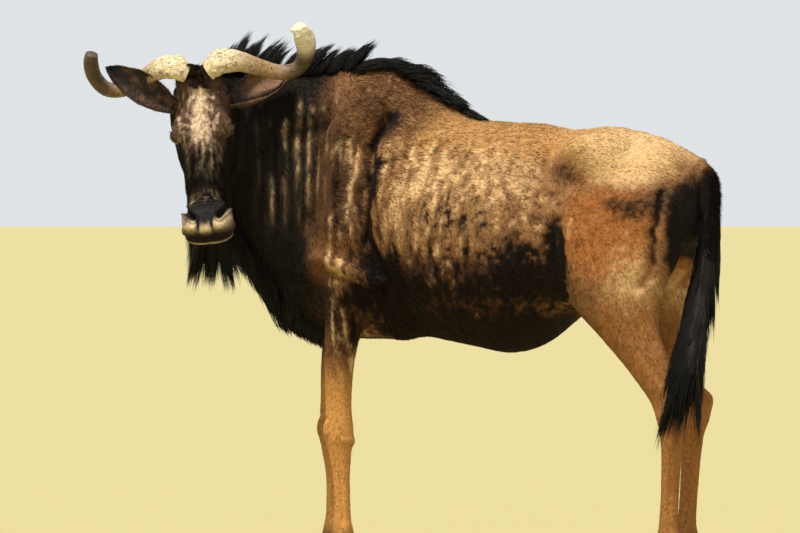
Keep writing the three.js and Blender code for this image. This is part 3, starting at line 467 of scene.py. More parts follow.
def ring(bm, centre, across, up, segments=24):
    """A closed ring of edges round a centre, its radii given as two vectors."""
    across, up = Vector(across), Vector(up)
    normal = across.cross(up).normalized()
    place = Matrix((across, up, normal)).transposed().to_4x4()
    place.translation = Vector(centre)
    made = bmesh.ops.create_circle(bm, cap_ends=False, radius=1, segments=segments, matrix=place)
    return made["verts"]


def edges_of(verts):
    own = set(verts)
    return [e for e in {e for v in verts for e in v.link_edges} if e.verts[0] in own and e.verts[1] in own]


def loft(bm, rings, segments=24):
    """A closed skin over rings, each (centre, across, up)."""
    rows = [ring(bm, *r, segments=segments) for r in rings]
    ends = edges_of(rows[0]), edges_of(rows[-1])
    loops = [edges_of(row) for row in rows]
    for a, b in zip(loops, loops[1:]):
        bmesh.ops.bridge_loops(bm, edges=a + b)
    for edges in ends:
        bmesh.ops.contextual_create(bm, geom=edges)
    return rows


def lump(bm, centre, axes, radii, detail=2):
    place = Matrix([Vector(a) * r for a, r in zip(axes, radii)]).transposed().to_4x4()
    place.translation = Vector(centre)
    bmesh.ops.create_icosphere(bm, subdivisions=detail, radius=1, matrix=place)


def points_of(mesh):
    p = np.empty(len(mesh.vertices) * 3)
    mesh.vertices.foreach_get("co", p)
    return p.reshape(-1, 3)


def put_points(mesh, p):
    mesh.vertices.foreach_set("co", np.ascontiguousarray(p, dtype=float).ravel())
    mesh.update()


def vertices_of(bm):
    return np.array([v.co for v in bm.verts])


def move_vertices(bm, p):
    for v, place in zip(bm.verts, p.tolist()):
        v.co = place


def add_piece(bm, name, material, nodes=(), smooth=True):
    """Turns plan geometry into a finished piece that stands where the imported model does."""
    bmesh.ops.translate(bm, verts=bm.verts, vec=SHIFT)
    mesh = bpy.data.meshes.new(name)
    bm.to_mesh(mesh)
    bm.free()
    return dress(mesh, name, material, nodes, smooth)


def dress(mesh, name, material, nodes=(), smooth=True):
    mesh.materials.clear()
    mesh.materials.append(material)
    mesh.polygons.foreach_set("use_smooth", np.full(len(mesh.polygons), smooth))
    piece = bpy.data.objects.new(name, mesh)
    bpy.context.scene.collection.objects.link(piece)
    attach(piece, "root")
    if nodes:
        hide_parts(*nodes)
    return piece


def mark_points(mesh, name, values):
    """Writes a number for each point of a mesh, which its finish reads by this name."""
    mesh.attributes.new(name, "FLOAT", "POINT").data.foreach_set("value", values)


# Skin
SKIN_VOXEL = 0.009


def shrunk(over, caps, least):
    """How much narrower a section is where it lies this far past the end of its table."""
    cap = caps[0] if over < 0 else caps[1]
    return math.sqrt(max(least, 1 - (over / cap) ** 2))


def body_forms():
    """The body's lofts and lobes, overlapping, before they are made one skin."""
    bm = bmesh.new()
    rings = []
    for x in np.linspace(TRUNK[0][0] - 0.085, TRUNK[-1][0] + 0.014, 28):
        at, (back, belly, half, _) = trunk_at(x)
        shrink = shrunk(x - at, TRUNK_CAP, 0.04)
        middle, depth = (back + belly) / 2, (back - belly) / 2
        rings.append(((x, 0, middle), (0, half * shrink * 0.8, 0), (0, 0, depth * shrink)))
    loft(bm, rings)
    rings = []
    for degrees in np.linspace(-14, 74, 24):
        _, (crest, throat, half) = neck_at(degrees)
        middle, depth = (crest + throat) / 2, (crest - throat) / 2
        out, _ = neck_ways(degrees)
        rings.append((neck_point(degrees, 0, middle), out * half * 0.8, (0, 0, depth * 0.98)))
    loft(bm, rings)
    rings = []
    for along in np.linspace(-0.02, 0.484, 20):
        at, (top, bottom, half) = head_at(along)
        shrink = shrunk(along - at, HEAD_CAP, 0.1)
        middle = head_point(along, 0, (top + bottom) / 2)
        rings.append((middle, head_out * half * shrink, head_up * ((top - bottom) / 2 * shrink)))
    loft(bm, rings)
    for along, out, up, ra, ro, ru in HEAD_LOBES.values():
        for side in ((1, -1) if out else (1,)):
            lump(bm, head_point(along, side * out, up), HEAD_AXES, (ra, ro, ru))
    for centre, c, s, radii in muscle_places():
        lump(bm, centre, ((c, 0, s), (0, 1, 0), (-s, 0, c)), radii)
    for name, (rows, _, _) in LEGS.items():
        rings = []
        for z in np.linspace(rows[-1][0] - 0.008, rows[0][0] + 0.04, 44):
            level, cx, cy, long, wide = leg_middle(name, z)
            shrink = shrunk(z - level, LEG_CAP, 0.1)
            rings.append(((cx, cy, z), (long * shrink, 0, 0), (0, wide * shrink, 0)))
        loft(bm, rings)
    rings = []
    for z in np.linspace(DOCK[-1][0] - 0.012, DOCK[0][0] + 0.012, 22):
        _, (cx, cy, radius) = dock_at(z)
        rings.append(((cx, cy, z), (radius, 0, 0), (0, radius, 0)))
    loft(bm, rings)
    bmesh.ops.recalc_face_normals(bm, faces=bm.faces)
    return bm


def evenly_meshed(bm, size):
    """One closed skin of even squares over all that overlaps."""
    mesh = bpy.data.meshes.new("forms")
    bm.to_mesh(mesh)
    bm.free()
    rough = bpy.data.objects.new("forms", mesh)
    bpy.context.scene.collection.objects.link(rough)
    join = rough.modifiers.new("one skin", "REMESH")
    join.mode = "VOXEL"
    join.voxel_size = size
    graph = bpy.context.evaluated_depsgraph_get()
    skin = bpy.data.meshes.new_from_object(rough.evaluated_get(graph))
    bpy.data.objects.remove(rough)
    bpy.data.meshes.remove(mesh)
    return skin


def eye_axes(side):
    """The middle of an eye, and its axes: towards the muzzle, up over it, and the way it looks."""
    centre = np.array(head_point(EYE_PLACE[0], side * EYE_PLACE[1], EYE_PLACE[2]))
    look = np.array(head_way(0.28, side, 0.3))
    across = unit(np.array(head_along) - look * dot(np.array(head_along), look))
    return centre, across, np.cross(look, across) * side, look


# The opening between the lids: half its length and half its height
EYE_OPENING = (0.0185, 0.0105)


def lid_gap(p, side):
    """How far points lie outside the opening between the lids, seen along the way the eye looks."""
    centre, across, over, look = eye_axes(side)
    a, b, c = dot(p - centre, across), dot(p - centre, over), dot(p - centre, look)
    long, high = EYE_OPENING
    almond = np.abs(b) - high * (1 - (a / long) ** 2)
    corner = np.hypot(np.abs(a) - long, b)
    return np.where(np.abs(a) < long, almond, corner), c


def refine(bm, near):
    """Halves the edges whose ends are both in a region."""
    inside = near(vertices_of(bm))
    bm.verts.ensure_lookup_table()
    for v, is_in in zip(bm.verts, inside):
        v.tag = bool(is_in)
    edges = [e for e in bm.edges if e.verts[0].tag and e.verts[1].tag]
    bmesh.ops.subdivide_edges(bm, edges=edges, cuts=1, use_grid_fill=True)


def on_head(p):
    return (head_place(p)[0] > 0.04) & (head(p) < 0.02) & (head(p) < neck(p))


def on_features(p):
    along, _, up = head_place(p)
    near_lids = np.zeros(len(p), bool)
    for side in (1, -1):
        gap, ahead = lid_gap(p, side)
        near_lids |= (gap < 0.02) & (ahead >= 0)
    return on_head(p) & (near_lids | ((along > 0.37) & (up > -0.075)))


def line_share(u, v, points, width):
    """1 on a line through points in a plane, falling off smoothly to its sides."""
    near = np.full(np.shape(u), 9.0)
    for (au, av), (bu, bv) in zip(points, points[1:]):
        du, dv = bu - au, bv - av
        t = np.clip(((u - au) * du + (v - av) * dv) / (du * du + dv * dv), 0, 1)
        near = np.minimum(near, np.hypot(u - au - t * du, v - av - t * dv))
    return np.exp(-((near / width) ** 2))


# Folds and bones seen from the side: height (below zero for a groove), width, and a line of (x, z)
SHOULDER_CREASE = [(0.03, 1.262), (0.002, 1.19), (0.004, 1.07), (0.0, 0.94), (0.03, 0.85)]
SHOULDER_FRONT = [(-0.159, 1.28), (-0.174, 1.142), (-0.179, 1.0), (-0.17, 0.91)]
ELBOW_LEDGE = [(-0.159, 0.895), (-0.089, 0.881), (0.016, 0.826)]
HAUNCH_GROOVE = [(0.825, 1.06), (0.81, 0.97), (0.805, 0.88), (0.77, 0.82)]
BODY_LINES = {
    "behind_shoulder": (-0.015, 0.013, SHOULDER_CREASE),
    "shoulder_ridge": (0.009, 0.02, [(-0.085, 1.24), (-0.1, 1.1), (-0.105, 0.96)]),
    "shoulder_front": (-0.015, 0.018, SHOULDER_FRONT),
    "elbow_ledge": (0.014, 0.017, ELBOW_LEDGE),
    "under_elbow": (-0.01, 0.016, [(-0.13, 0.85), (-0.06, 0.835), (0.03, 0.785)]),
    "flank_fold": (-0.012, 0.016, [(0.54, 0.99), (0.545, 0.89), (0.56, 0.8)]),
    "flank_crease": (-0.006, 0.009, [(0.487, 1.165), (0.49, 1.115)]),
    "haunch_groove": (-0.009, 0.014, HAUNCH_GROOVE),
    "haunch_edge": (0.006, 0.014, [(0.85, 1.04), (0.84, 0.95), (0.835, 0.87)]),
    "haunch_front": (0.008, 0.02, [(0.585, 1.06), (0.59, 0.95), (0.595, 0.85)]),
    "loin_edge": (0.004, 0.02, [(0.2, 1.2), (0.42, 1.2), (0.56, 1.19)]),
}
# Hollows and knobs of the body seen from the side: height, x, z, and their two radii
BODY_SPOTS = {
    "flank_hollow": (-0.014, 0.525, 1.08, 0.055, 0.09),
    "hip_bone": (0.01, 0.6, 1.185, 0.035, 0.028),
    "rump_dip": (-0.006, 0.74, 1.16, 0.07, 0.035),
    "stifle": (0.006, 0.6, 0.83, 0.05, 0.05),
}
# Painted shade and highlights, with streaks of the coat, over the body seen from the side, light above zero:
# strength, width, and a line of (x, z)
SHADE_LINES = {
    # Painted shade along the creases at the shoulder, in the haunch groove and in the flank crease, and dark
    # streaks down the ribs
    "crease_top": (-1.1, 0.016, SHOULDER_CREASE[:2]),
    "crease": (-1.3, 0.009, SHOULDER_CREASE[1:]),
    "shoulder_front": (-1.2, 0.014, SHOULDER_FRONT),
    "rib_dark_first": (-1.0, 0.009, [(0.022, 1.15), (0.02, 1.05)]),
    "rib_dark_second": (-0.9, 0.009, [(0.066, 1.16), (0.058, 1.03)]),
    "rib_dark_third": (-0.7, 0.008, [(0.1, 1.18), (0.09, 1.1)]),
    "haunch_groove": (-0.9, 0.01, HAUNCH_GROOVE),
    "flank_crease": (-0.5, 0.006, [(0.487, 1.165), (0.49, 1.115)]),
    # Painted highlights along the lit ledge of the elbow and the lit edges of the shoulder, thigh and haunch,
    # and pale streaks down the ribs and flank
    "elbow_ledge": (1.1, 0.02, ELBOW_LEDGE),
    "shoulder_light": (0.5, 0.008, [(-0.082, 1.2), (-0.1, 1.0)]),
    "shoulder_light_back": (0.35, 0.006, [(-0.045, 1.16), (-0.058, 1.0)]),
    "shoulder_light_front": (0.4, 0.007, [(-0.125, 1.14), (-0.14, 1.0)]),
    "rib_light_first": (0.6, 0.006, [(0.045, 1.19), (0.04, 1.06), (0.05, 0.94)]),
    "rib_light_second": (0.9, 0.012, [(0.12, 1.19), (0.095, 1.0), (0.1, 0.9)]),
    "rib_light_third": (0.7, 0.01, [(0.165, 1.19), (0.15, 1.03), (0.155, 0.92)]),
    "rib_light_fourth": (0.55, 0.009, [(0.21, 1.18), (0.195, 1.03)]),
    "flank_light": (0.45, 0.01, [(0.46, 1.08), (0.458, 0.95)]),
    "thigh_edge": (0.4, 0.014, [(0.582, 1.0), (0.585, 0.9), (0.6, 0.82)]),
    "haunch_edge": (0.25, 0.012, [(0.84, 1.02), (0.83, 0.88)]),
}
# Patches of painted shade and highlights, and the coat's own patches, seen from the side: strength, x, z, and
# their two radii
SHADE_SPOTS = {
    # Painted shade behind the elbow, under the flank and the low ribs, and in the flank hollow
    "behind_elbow": (-1.9, 0.035, 0.83, 0.08, 0.1),
    "under_flank": (-1.3, 0.46, 0.86, 0.13, 0.08),
    "low_ribs": (-1.0, 0.2, 0.795, 0.19, 0.07),
    "flank_hollow": (-0.45, 0.535, 1.13, 0.05, 0.04),
    # Darker patches at the flank and on the haunch
    "flank_red": (-0.6, 0.585, 1.11, 0.055, 0.045),
    "haunch_splotch": (-0.85, 0.745, 1.035, 0.08, 0.036),
    # Painted shade down the back edge of the rump; beside the tail, black hair darkened further as the tail's
    # painted shadow
    "rump_side": (-0.9, 0.865, 0.96, 0.035, 0.17),
    "rump_black": (-2.4, 0.91, 1.0, 0.035, 0.11),
    # Darker at the back of the thigh, dapples on the flank and brown over the withers
    "thigh_back": (-0.7, 0.86, 0.86, 0.045, 0.06),
    "flank_dapple_first": (-0.5, 0.29, 1.02, 0.05, 0.028),
    "flank_dapple_second": (-0.4, 0.37, 0.995, 0.03, 0.03),
    "flank_dapple_third": (-0.35, 0.44, 1.04, 0.028, 0.02),
    "withers_brown": (-0.25, -0.04, 1.3, 0.12, 0.05),
    # Painted highlights on the top of the croup and thigh, on the upper ribs and over the loin
    "croup": (0.85, 0.73, 1.175, 0.17, 0.07),
    "thigh_top": (0.75, 0.72, 1.105, 0.11, 0.04),
    "upper_ribs": (0.5, 0.27, 1.1, 0.15, 0.075),
    "loin": (0.35, 0.45, 1.11, 0.09, 0.05),
    # Paler low on the thigh
    "low_thigh": (0.95, 0.755, 0.83, 0.08, 0.07),
}
RIBS = 9
NECK_FOLDS = (6, 12, 18.5, 24.5, 31, 38, 45, 52)


def body_shade(p):
    """How light or dark the coat is painted at points of the body, from -1 to 1: the coat's own streaks,
    dapples and dark tail, painted shade in creases, under the body and between the hind legs, and painted
    highlights on lit ridges and tops.
    """
    x, y, z = p.T
    u = x + 0.02 * lumps(p, 14, 31) + 0.012 * lumps(p, 45, 32)
    v = z + 0.04 * lumps(p, 12, 33)
    shade = 0
    for strength, width, line in SHADE_LINES.values():
        shade = shade + strength * line_share(u, v, line, width)
    for strength, cx, cz, rx, rz in SHADE_SPOTS.values():
        shade = shade + strength * hill(u, cx, rx) * hill(v, cz, rz)
    # Painted shade in the fold in front of the thigh and under the belly
    flank_fold_shade = window(u, 0.5, 0.53, 0.56, 0.568) * window(v, 0.78, 0.82, 0.95, 1.02)
    belly = (1 - rise(v, 0.69, 0.78)) * window(u, -0.05, 0.1, 0.5, 0.62)
    shade = shade - 1.1 * flank_fold_shade - 1.3 * belly
    on_ribs = window(u, -0.22, -0.16, 0.22, 0.5) * (1 - rise(v, 1.17, 1.25))
    on_flank = window(u, 0.1, 0.25, 0.5, 0.62) * (1 - rise(v, 1.04, 1.14))
    shade = shade + on_ribs * (1.3 * lumps(p, 55, 34, 0.1) + 1.5 * lumps(p, 140, 35, 0.16))
    shade = shade + (0.5 + 0.9 * on_flank) * lumps(p, 85, 36) + (0.6 + 0.4 * on_flank) * lumps(p, 170, 40)
    on_dock = (1 - rise(dock(p), 0.004, 0.012)) * rise(x, 0.87, 0.9)
    shade = shade - on_dock * (0.25 + 1.75 * (1 - rise(z, 1.04, 1.12)))
    # Painted shade between the hind legs, on their inner sides
    inner = (1 - rise(np.abs(y), 0.05, 0.1)) * rise(x, 0.56, 0.64) * (1 - rise(z, 0.9, 1.0)) * (1 - on_dock)
    return (shade - 0.9 * inner) * rise(z, 0.5, 0.64)


def fold_place(p):
    """Where points lie across the neck's folds, which wander a little, in degrees."""
    return neck_place(p)[0] - 2.4 * lumps(p, 7, 3)


def neck_shade(p):
    """Lit ridges and dark folds down the sides of the neck."""
    middles = [(low + high) / 2 for low, high in zip(NECK_FOLDS, NECK_FOLDS[1:])]
    ridges = sum(hill(fold_place(p), middle, 1.5) for middle in middles)
    broken = rise(lumps(p, 30, 37, 0.25), -0.14, 0.12) * (lumps(p, 140, 35, 0.16) + 0.38)
    reach = window(p[:, 2], 0.92, 1.08, 1.3, 1.4) * (1 - rise(neck_place(p)[0], 40, 52))
    return 0.9 * ridges * broken * reach


def face_shade(p):
    """The pale stripe down the face, and the streaks of grey-brown hair beside and below it, with a painted
    highlight on each brow and painted shade in the hollow behind it.
    """
    along, out, up = head_place(p)
    wander = 0.012 * lumps(p, 30, 42)
    strands = lumps(np.stack([along * 22, (out + wander) * 310, up * 60], -1), 1, 38)
    specks = lumps(p, 120, 39)
    across = np.abs(out - 0.004)
    stripe = hill(across, 0, 0.021) * window(along, 0.02, 0.06, 0.2, 0.28)
    sides = hill(across, 0.045, 0.024) * window(along, 0.02, 0.06, 0.2, 0.3)
    low = hill(across, 0, 0.04) * window(along, 0.2, 0.26, 0.3, 0.37)
    # A painted highlight on the brow over each eye, and painted shade in the hollow between horn and eye,
    # stronger on the left side
    brow = hill(along, 0.142, 0.014) * hill(across, 0.054, 0.011)
    brow_hollow_shade = hill(along, 0.108, 0.028) * hill(across, 0.056, 0.018)
    snout = hill(along, 0.39, 0.02) * rise(up, 0.01, 0.03) * (1 - rise(across, 0.035, 0.05))
    pale = stripe * (1.0 + 0.5 * strands + 1.3 * specks) + sides * (0.12 + 1.0 * strands + 1.2 * specks)
    pale = pale + snout * (0.34 + 1.2 * specks) - brow_hollow_shade * (0.5 + 0.3 * np.sign(-out))
    return (pale + low * (0.16 + 1.2 * strands + 0.5 * specks) + 0.5 * brow) * rise(up, 0.0, 0.03)


def coat_shade(p):
    neck_on = rise(neck_place(p)[0], 0, 8)
    body_part = mixed(body_shade(p), neck_shade(p), neck_on)
    return np.clip(mixed(body_part, face_shade(p), rise(head_share(p), 0.3, 0.8)), -1, 1)


def body_relief(p):
    """How far the body's skin stands out or in: muscles, bones, ribs and the folds of the neck."""
    x, y, z = p.T
    swing = np.where((y > 0) & (x < 0.1), (1.25 - z) * FAR_SHOULDER_SWING, 0)
    height = 0
    for rate, width, line in BODY_LINES.values():
        height = height + rate * line_share(x - swing, z, line, width)
    for rate, cx, cz, rx, rz in BODY_SPOTS.values():
        height = height + rate * hill(x, cx, rx) * hill(z, cz, rz)
    for i in range(RIBS):
        line = x + 0.3 * (z - 1.0) - (0.09 + 0.047 * i)
        height = height + 0.004 * hill(line, 0, 0.012) * window(z, 0.72, 0.84, 1.0 + 0.01 * i, 1.14)
    height = height * rise(np.abs(y), 0.06, 0.12) * rise(z, 0.55, 0.7)
    spine = hill(y, 0, 0.02) * rise(x, 0.05, 0.2) * rise(z, 1.15, 1.2)
    height = height + spine * (0.003 + 0.0005 * np.sin(x * 110))
    folds = sum(hill(fold_place(p), fold, 1.5) for fold in NECK_FOLDS)
    low = 0.78 + 0.0035 * np.clip(neck_place(p)[0], 0, 60)
    folds = folds * window(z, low, low + 0.12, 1.26, 1.36) * (1 - head_share(p))
    height = height - 0.0085 * folds * rise(neck(p), 0.05, 0.02)
    on_ribs = window(x, -0.22, -0.14, 0.3, 0.5) * window(z, 0.8, 0.9, 1.16, 1.24)
    return height + (0.0022 * lumps(p, 26, 5) + 0.005 * lumps(p, 40, 34, 0.12) * on_ribs) * rise(z, 0.6, 0.8)


def leg_relief(p):
    """Knees, hocks, and the groove between each cannon bone and its tendon."""
    z = p[:, 2]
    height = 0
    for name in LEGS:
        _, cx, cy, _, wide = leg_middle(name, z)
        px, py = p[:, 0] - cx, (p[:, 1] - cy) / wide
        flank = rise(np.abs(py), 0.3, 0.8)
        shape = -0.0034 * hill(px, 0.008, 0.006) * flank * window(z, 0.16, 0.2, 0.36, 0.42)
        if name.startswith("front"):
            shape = shape + 0.004 * hill(z, 0.43, 0.025) * rise(-px, 0.01, 0.03)
            shape = shape + 0.005 * hill(z, 0.405, 0.014) * rise(px, 0.012, 0.03)
            shape = shape - 0.003 * hill(z, 0.465, 0.01) * rise(-px, 0.01, 0.03)
        else:
            shape = shape + 0.006 * hill(z, 0.53, 0.022) * rise(px, 0.03, 0.045)
            shape = shape - 0.006 * hill(px, 0.022, 0.01) * window(z, 0.54, 0.6, 0.62, 0.7) * flank
            shape = shape + 0.003 * hill(z, 0.475, 0.02) * flank
        height = height + rise(leg(name, p), 0.02, 0.008) * (1 - rise(z, 0.62, 0.72)) * shape
    return height


# The line of the mouth in the head's middle plane: along, up
MOUTH = [(0.362, -0.05), (0.4, -0.038), (0.45, -0.022), (0.5, -0.009), (0.53, -0.006)]
# The muzzle's features lie down its slanted front. This is how far down it a point is
MUZZLE_SLANT = (0.818, -0.575)
NOSTRIL = [(0.034, 0.35), (0.05, 0.336), (0.063, 0.318)]


def mouth_height(along):
    return np.interp(along, [a for a, _ in MOUTH], [u for _, u in MOUTH])


def down_muzzle(p):
    along, _, up = head_place(p)
    return along * MUZZLE_SLANT[0] + up * MUZZLE_SLANT[1]


def nostril_share(p, side):
    """1 in the middle of a nostril, 0 from its rim outwards. It is a slit that curls out and up."""
    along, out, up = head_place(p)
    near = 1 - line_share(side * out, down_muzzle(p), NOSTRIL, 0.0085)
    shape = np.sqrt(-np.log(np.clip(1 - near, 1e-9, 1)))
    return (1 - rise(shape, 0.6, 1.15)) * rise(along, 0.4, 0.42) * rise(up, 0.0, 0.012), shape


def lip_share(p):
    """The pale skin of the lips and of the rims under the nostrils."""
    along, out, up = head_place(p)
    down = down_muzzle(p)
    across = np.abs(out - 0.005)
    pale = 1.25 * hill(across, 0.036, 0.017) * hill(down, 0.372, 0.0125)
    pale = pale + 1.1 * np.exp(-((across / 0.016) ** 4)) * hill(down, 0.381, 0.0095)
    pale = pale + 0.5 * hill(across, 0.062, 0.012) * hill(down, 0.358, 0.02)
    pale = pale + 0.7 * hill(up - mouth_height(along), -0.013, 0.0045) * rise(along, 0.43, 0.46)
    pale = pale - hill(across, 0.018, 0.0035) * (1 - rise(down, 0.37, 0.39))
    pale = pale * (1 + 0.9 * lumps(p, 130, 41))
    hole = np.maximum(nostril_share(p, 1)[0], nostril_share(p, -1)[0])
    return np.clip(pale, 0, 1) * rise(along, 0.4, 0.42) * (1 - hole) * head_share(p)


# Long low forms of the head's sides: height, width, and a line of (along, up)
CHEEK_LINES = {
    "cheek_bone": (0.004, 0.01, [(0.12, -0.035), (0.22, -0.03), (0.33, -0.012)]),
    "under_cheek": (-0.004, 0.012, [(0.14, -0.062), (0.25, -0.055), (0.34, -0.035)]),
}


def head_relief(p):
    """How far the face stands out or in: mouth, lips, nostrils, wrinkles and the bones of the face."""
    along, out, up = head_place(p)
    line = mouth_height(along)
    lips = -0.0085 * hill(up, line, 0.0032) + 0.0032 * hill(up, line + 0.0115, 0.007)
    height = (lips + 0.0028 * hill(up, line - 0.0115, 0.007)) * rise(along, 0.355, 0.385)
    for side in (1, -1):
        hole, shape = nostril_share(p, side)
        rim = hill(shape, 1.45, 0.3) * rise(along, 0.41, 0.43) * rise(up, 0.0, 0.012)
        height = height - 0.017 * hole + 0.0038 * rim
        gap, ahead = lid_gap(p, side)
        centre, _, over, _ = eye_axes(side)
        above = dot(p - centre, over)
        brow = 0.0035 * hill(gap, 0.0135, 0.0045) * rise(above, 0.0, 0.012)
        bag = 0.0022 * hill(gap, 0.009, 0.0035) * rise(-above, 0.0, 0.01)
        height = height + rise(ahead, -0.002, 0.006) * (brow - bag)
    down = down_muzzle(p)
    groove = hill(out, 0.005, 0.0035) * rise(down, 0.355, 0.37) * rise(up, line + 0.004, line + 0.012)
    pillow = hill(np.abs(out - 0.005), 0.034, 0.02) * hill(down, 0.376, 0.014)
    under = hill(down, 0.398, 0.007) * rise(along, 0.44, 0.46) * rise(up, line, line + 0.006)
    height = height - 0.003 * groove + (0.0045 * pillow - 0.003 * under) * rise(along, 0.42, 0.44)
    wrinkles = np.sin(along * 620 + np.abs(out) * 90) * window(along, 0.385, 0.4, 0.425, 0.44)
    height = height + 0.0009 * wrinkles * rise(up, 0.0, 0.02)
    for rate, width, points in CHEEK_LINES.values():
        height = height + rate * line_share(along, up, points, width) * rise(np.abs(out), 0.03, 0.045)
    height = height - 0.004 * hill(along, 0.105, 0.024) * hill(up, 0.03, 0.02) * rise(np.abs(out), 0.04, 0.06)
    pores = 0.0012 * lumps(p, 240, 7) * rise(along, 0.4, 0.43)
    return height + pores + 0.002 * lumps(p, 90, 9, 0.7) * (1 - rise(along, 0.38, 0.42))


def fit_lids(p):
    """Lays the lids over each eyeball, and tucks the skin between them in behind it."""
    for side in (1, -1):
        centre = eye_axes(side)[0]
        gap, ahead = lid_gap(p, side)
        away = p - centre
        over_ball = EYE_RADIUS + 0.0026 - 0.0008 * rise(gap, 0.004, 0.0)
        lid = centre + unit(away) * over_ball[:, None]
        share = (1 - rise(gap, 0.004, 0.016)) * rise(ahead, 0.0, 0.006)
        p = mixed(p, lid, share[:, None] * (gap >= 0)[:, None])
        tucked = centre + unit(away) * (EYE_RADIUS - 0.005)
        p = np.where(((gap < 0) & (ahead > 0))[:, None], tucked, p)
    return p


def make_skin_form():
    mesh = evenly_meshed(body_forms(), SKIN_VOXEL)
    p = points_of(mesh)
    for _ in range(3):
        p = settle(p)
    put_points(mesh, p)
    bm = bmesh.new()
    bm.from_mesh(mesh)
    bpy.data.meshes.remove(mesh)
    every_way = {"use_axis_x": True, "use_axis_y": True, "use_axis_z": True}
    for _ in range(2):
        bmesh.ops.smooth_vert(bm, verts=bm.verts, factor=0.5, **every_way)
    move_vertices(bm, settle(settle(vertices_of(bm))))
    refine(bm, lambda p: on_head(p) | ((p[:, 2] < 0.6) & (trunk(p) > 0.03)))
    move_vertices(bm, settle(vertices_of(bm), 0.006))
    bmesh.ops.smooth_vert(bm, verts=bm.verts, factor=0.4, **every_way)
    refine(bm, on_features)
    p = settle(settle(vertices_of(bm), 0.006), 0.006)
    normal = unit(slope_of(flesh, p))
    share = head_share(p)
    height = head_relief(p) * share + (body_relief(p) + leg_relief(p)) * (1 - share)
    move_vertices(bm, fit_lids(p + normal * height[:, None]))
    bmesh.ops.recalc_face_normals(bm, faces=bm.faces)
    return bm


# Finishes
class Value:
    """A socket in a finish, so that sums over the surface are written as they are read."""

    def __init__(self, finish, socket):
        self.finish = finish
        self.socket = socket

    def sum(self, operation, *others):
        return self.finish.value("ShaderNodeMath", {"operation": operation}, dict(enumerate((self, *others))))

    def __add__(self, other):
        return self.sum("ADD", other)

    __radd__ = __add__

    def __mul__(self, other):
        return self.sum("MULTIPLY", other)

    __rmul__ = __mul__

    def __sub__(self, other):
        return self.sum("SUBTRACT", other)

    def __rsub__(self, other):
        return self.finish.value("ShaderNodeMath", {"operation": "SUBTRACT"}, {0: other, 1: self})

    def __truediv__(self, other):
        return self.sum("DIVIDE", other)

    def __pow__(self, other):
        return self.sum("POWER", other)

    def rise(self, low, high):
        """Goes smoothly from 0 at low to 1 at high."""
        if low > high:
            return 1 - self.rise(high, low)
        settings = {"interpolation_type": "SMOOTHSTEP"}
        sockets = {"Value": self, "From Min": low, "From Max": high}
        return self.finish.value("ShaderNodeMapRange", settings, sockets)

    def size(self):
        return self.sum("ABSOLUTE")


class Finish:
    """A material made of nodes."""

    def __init__(self, name):
        self.material = bpy.data.materials.new(name)
        self.material.use_nodes = True
        self.tree = self.material.node_tree
        self.tree.nodes.clear()

    def node(self, kind, settings=None, sockets=None):
        made = self.tree.nodes.new(kind)
        for key, value in (settings or {}).items():
            setattr(made, key, value)
        for key, value in (sockets or {}).items():
            if isinstance(value, Value):
                self.tree.links.new(value.socket, made.inputs[key])
            else:
                made.inputs[key].default_value = value
        return made

    def value(self, kind, settings=None, sockets=None, out=0):
        return Value(self, self.node(kind, settings, sockets).outputs[out])

    def place(self):
        """Where a point of the surface is in the animal's plan."""
        here = self.value("ShaderNodeTexCoord", out="Object")
        return self.vectors("SUBTRACT", here, SHIFT)

    def vectors(self, operation, a, b, out=0):
        return self.value("ShaderNodeVectorMath", {"operation": operation}, {0: a, 1: b}, out)

    def head_place(self, p):
        """Along, out and up of a point in the head's own axes."""
        return [self.measure(p, POLL, axis) for axis in (head_along, head_out, head_up)]

    def parts(self, vector):
        split = self.node("ShaderNodeSeparateXYZ", None, {0: vector})
        return [Value(self, out) for out in split.outputs]

    def stretch(self, vector, factors):
        return self.vectors("MULTIPLY", vector, factors)

    def measure(self, vector, origin, axis):
        """How far a point lies from an origin along an axis."""
        return self.vectors("DOT_PRODUCT", self.vectors("SUBTRACT", vector, origin), axis, "Value")

    def noise(self, vector, scale, detail=2.0, roughness=0.5):
        sockets = {"Vector": vector, "Scale": scale, "Detail": detail, "Roughness": roughness}
        return self.value("ShaderNodeTexNoise", None, sockets)

    def vector(self, x, y, z):
        return self.value("ShaderNodeCombineXYZ", None, {0: x, 1: y, 2: z})

    def mix(self, a, b, share):
        return self.value("ShaderNodeMix", {"data_type": "RGBA"}, {0: share, 6: a, 7: b}, out=2)

    def shade(self, color, share):
        """The same colour, darker or lighter."""
        return self.value("ShaderNodeVectorMath", {"operation": "SCALE"}, {0: color, "Scale": share})

    def attribute(self, name):
        return self.value("ShaderNodeAttribute", {"attribute_name": name}, out="Fac")

    def surface(self, sockets, bump=None, strength=0.3, distance=0.001):
        sockets = dict(sockets)
        if bump is not None:
            heights = {"Strength": strength, "Distance": distance, "Height": bump}
            sockets["Normal"] = self.value("ShaderNodeBump", None, heights)
        shader = self.value("ShaderNodeBsdfPrincipled", None, sockets)
        self.node("ShaderNodeOutputMaterial", None, {"Surface": shader})
        return self.material


def tone(red, green, blue):
    """A colour from its values on a screen, 0 to 255."""
    line = [v / 255 for v in (red, green, blue)]
    return (*[v / 12.92 if v <= 0.04045 else ((v + 0.055) / 1.055) ** 2.4 for v in line], 1)


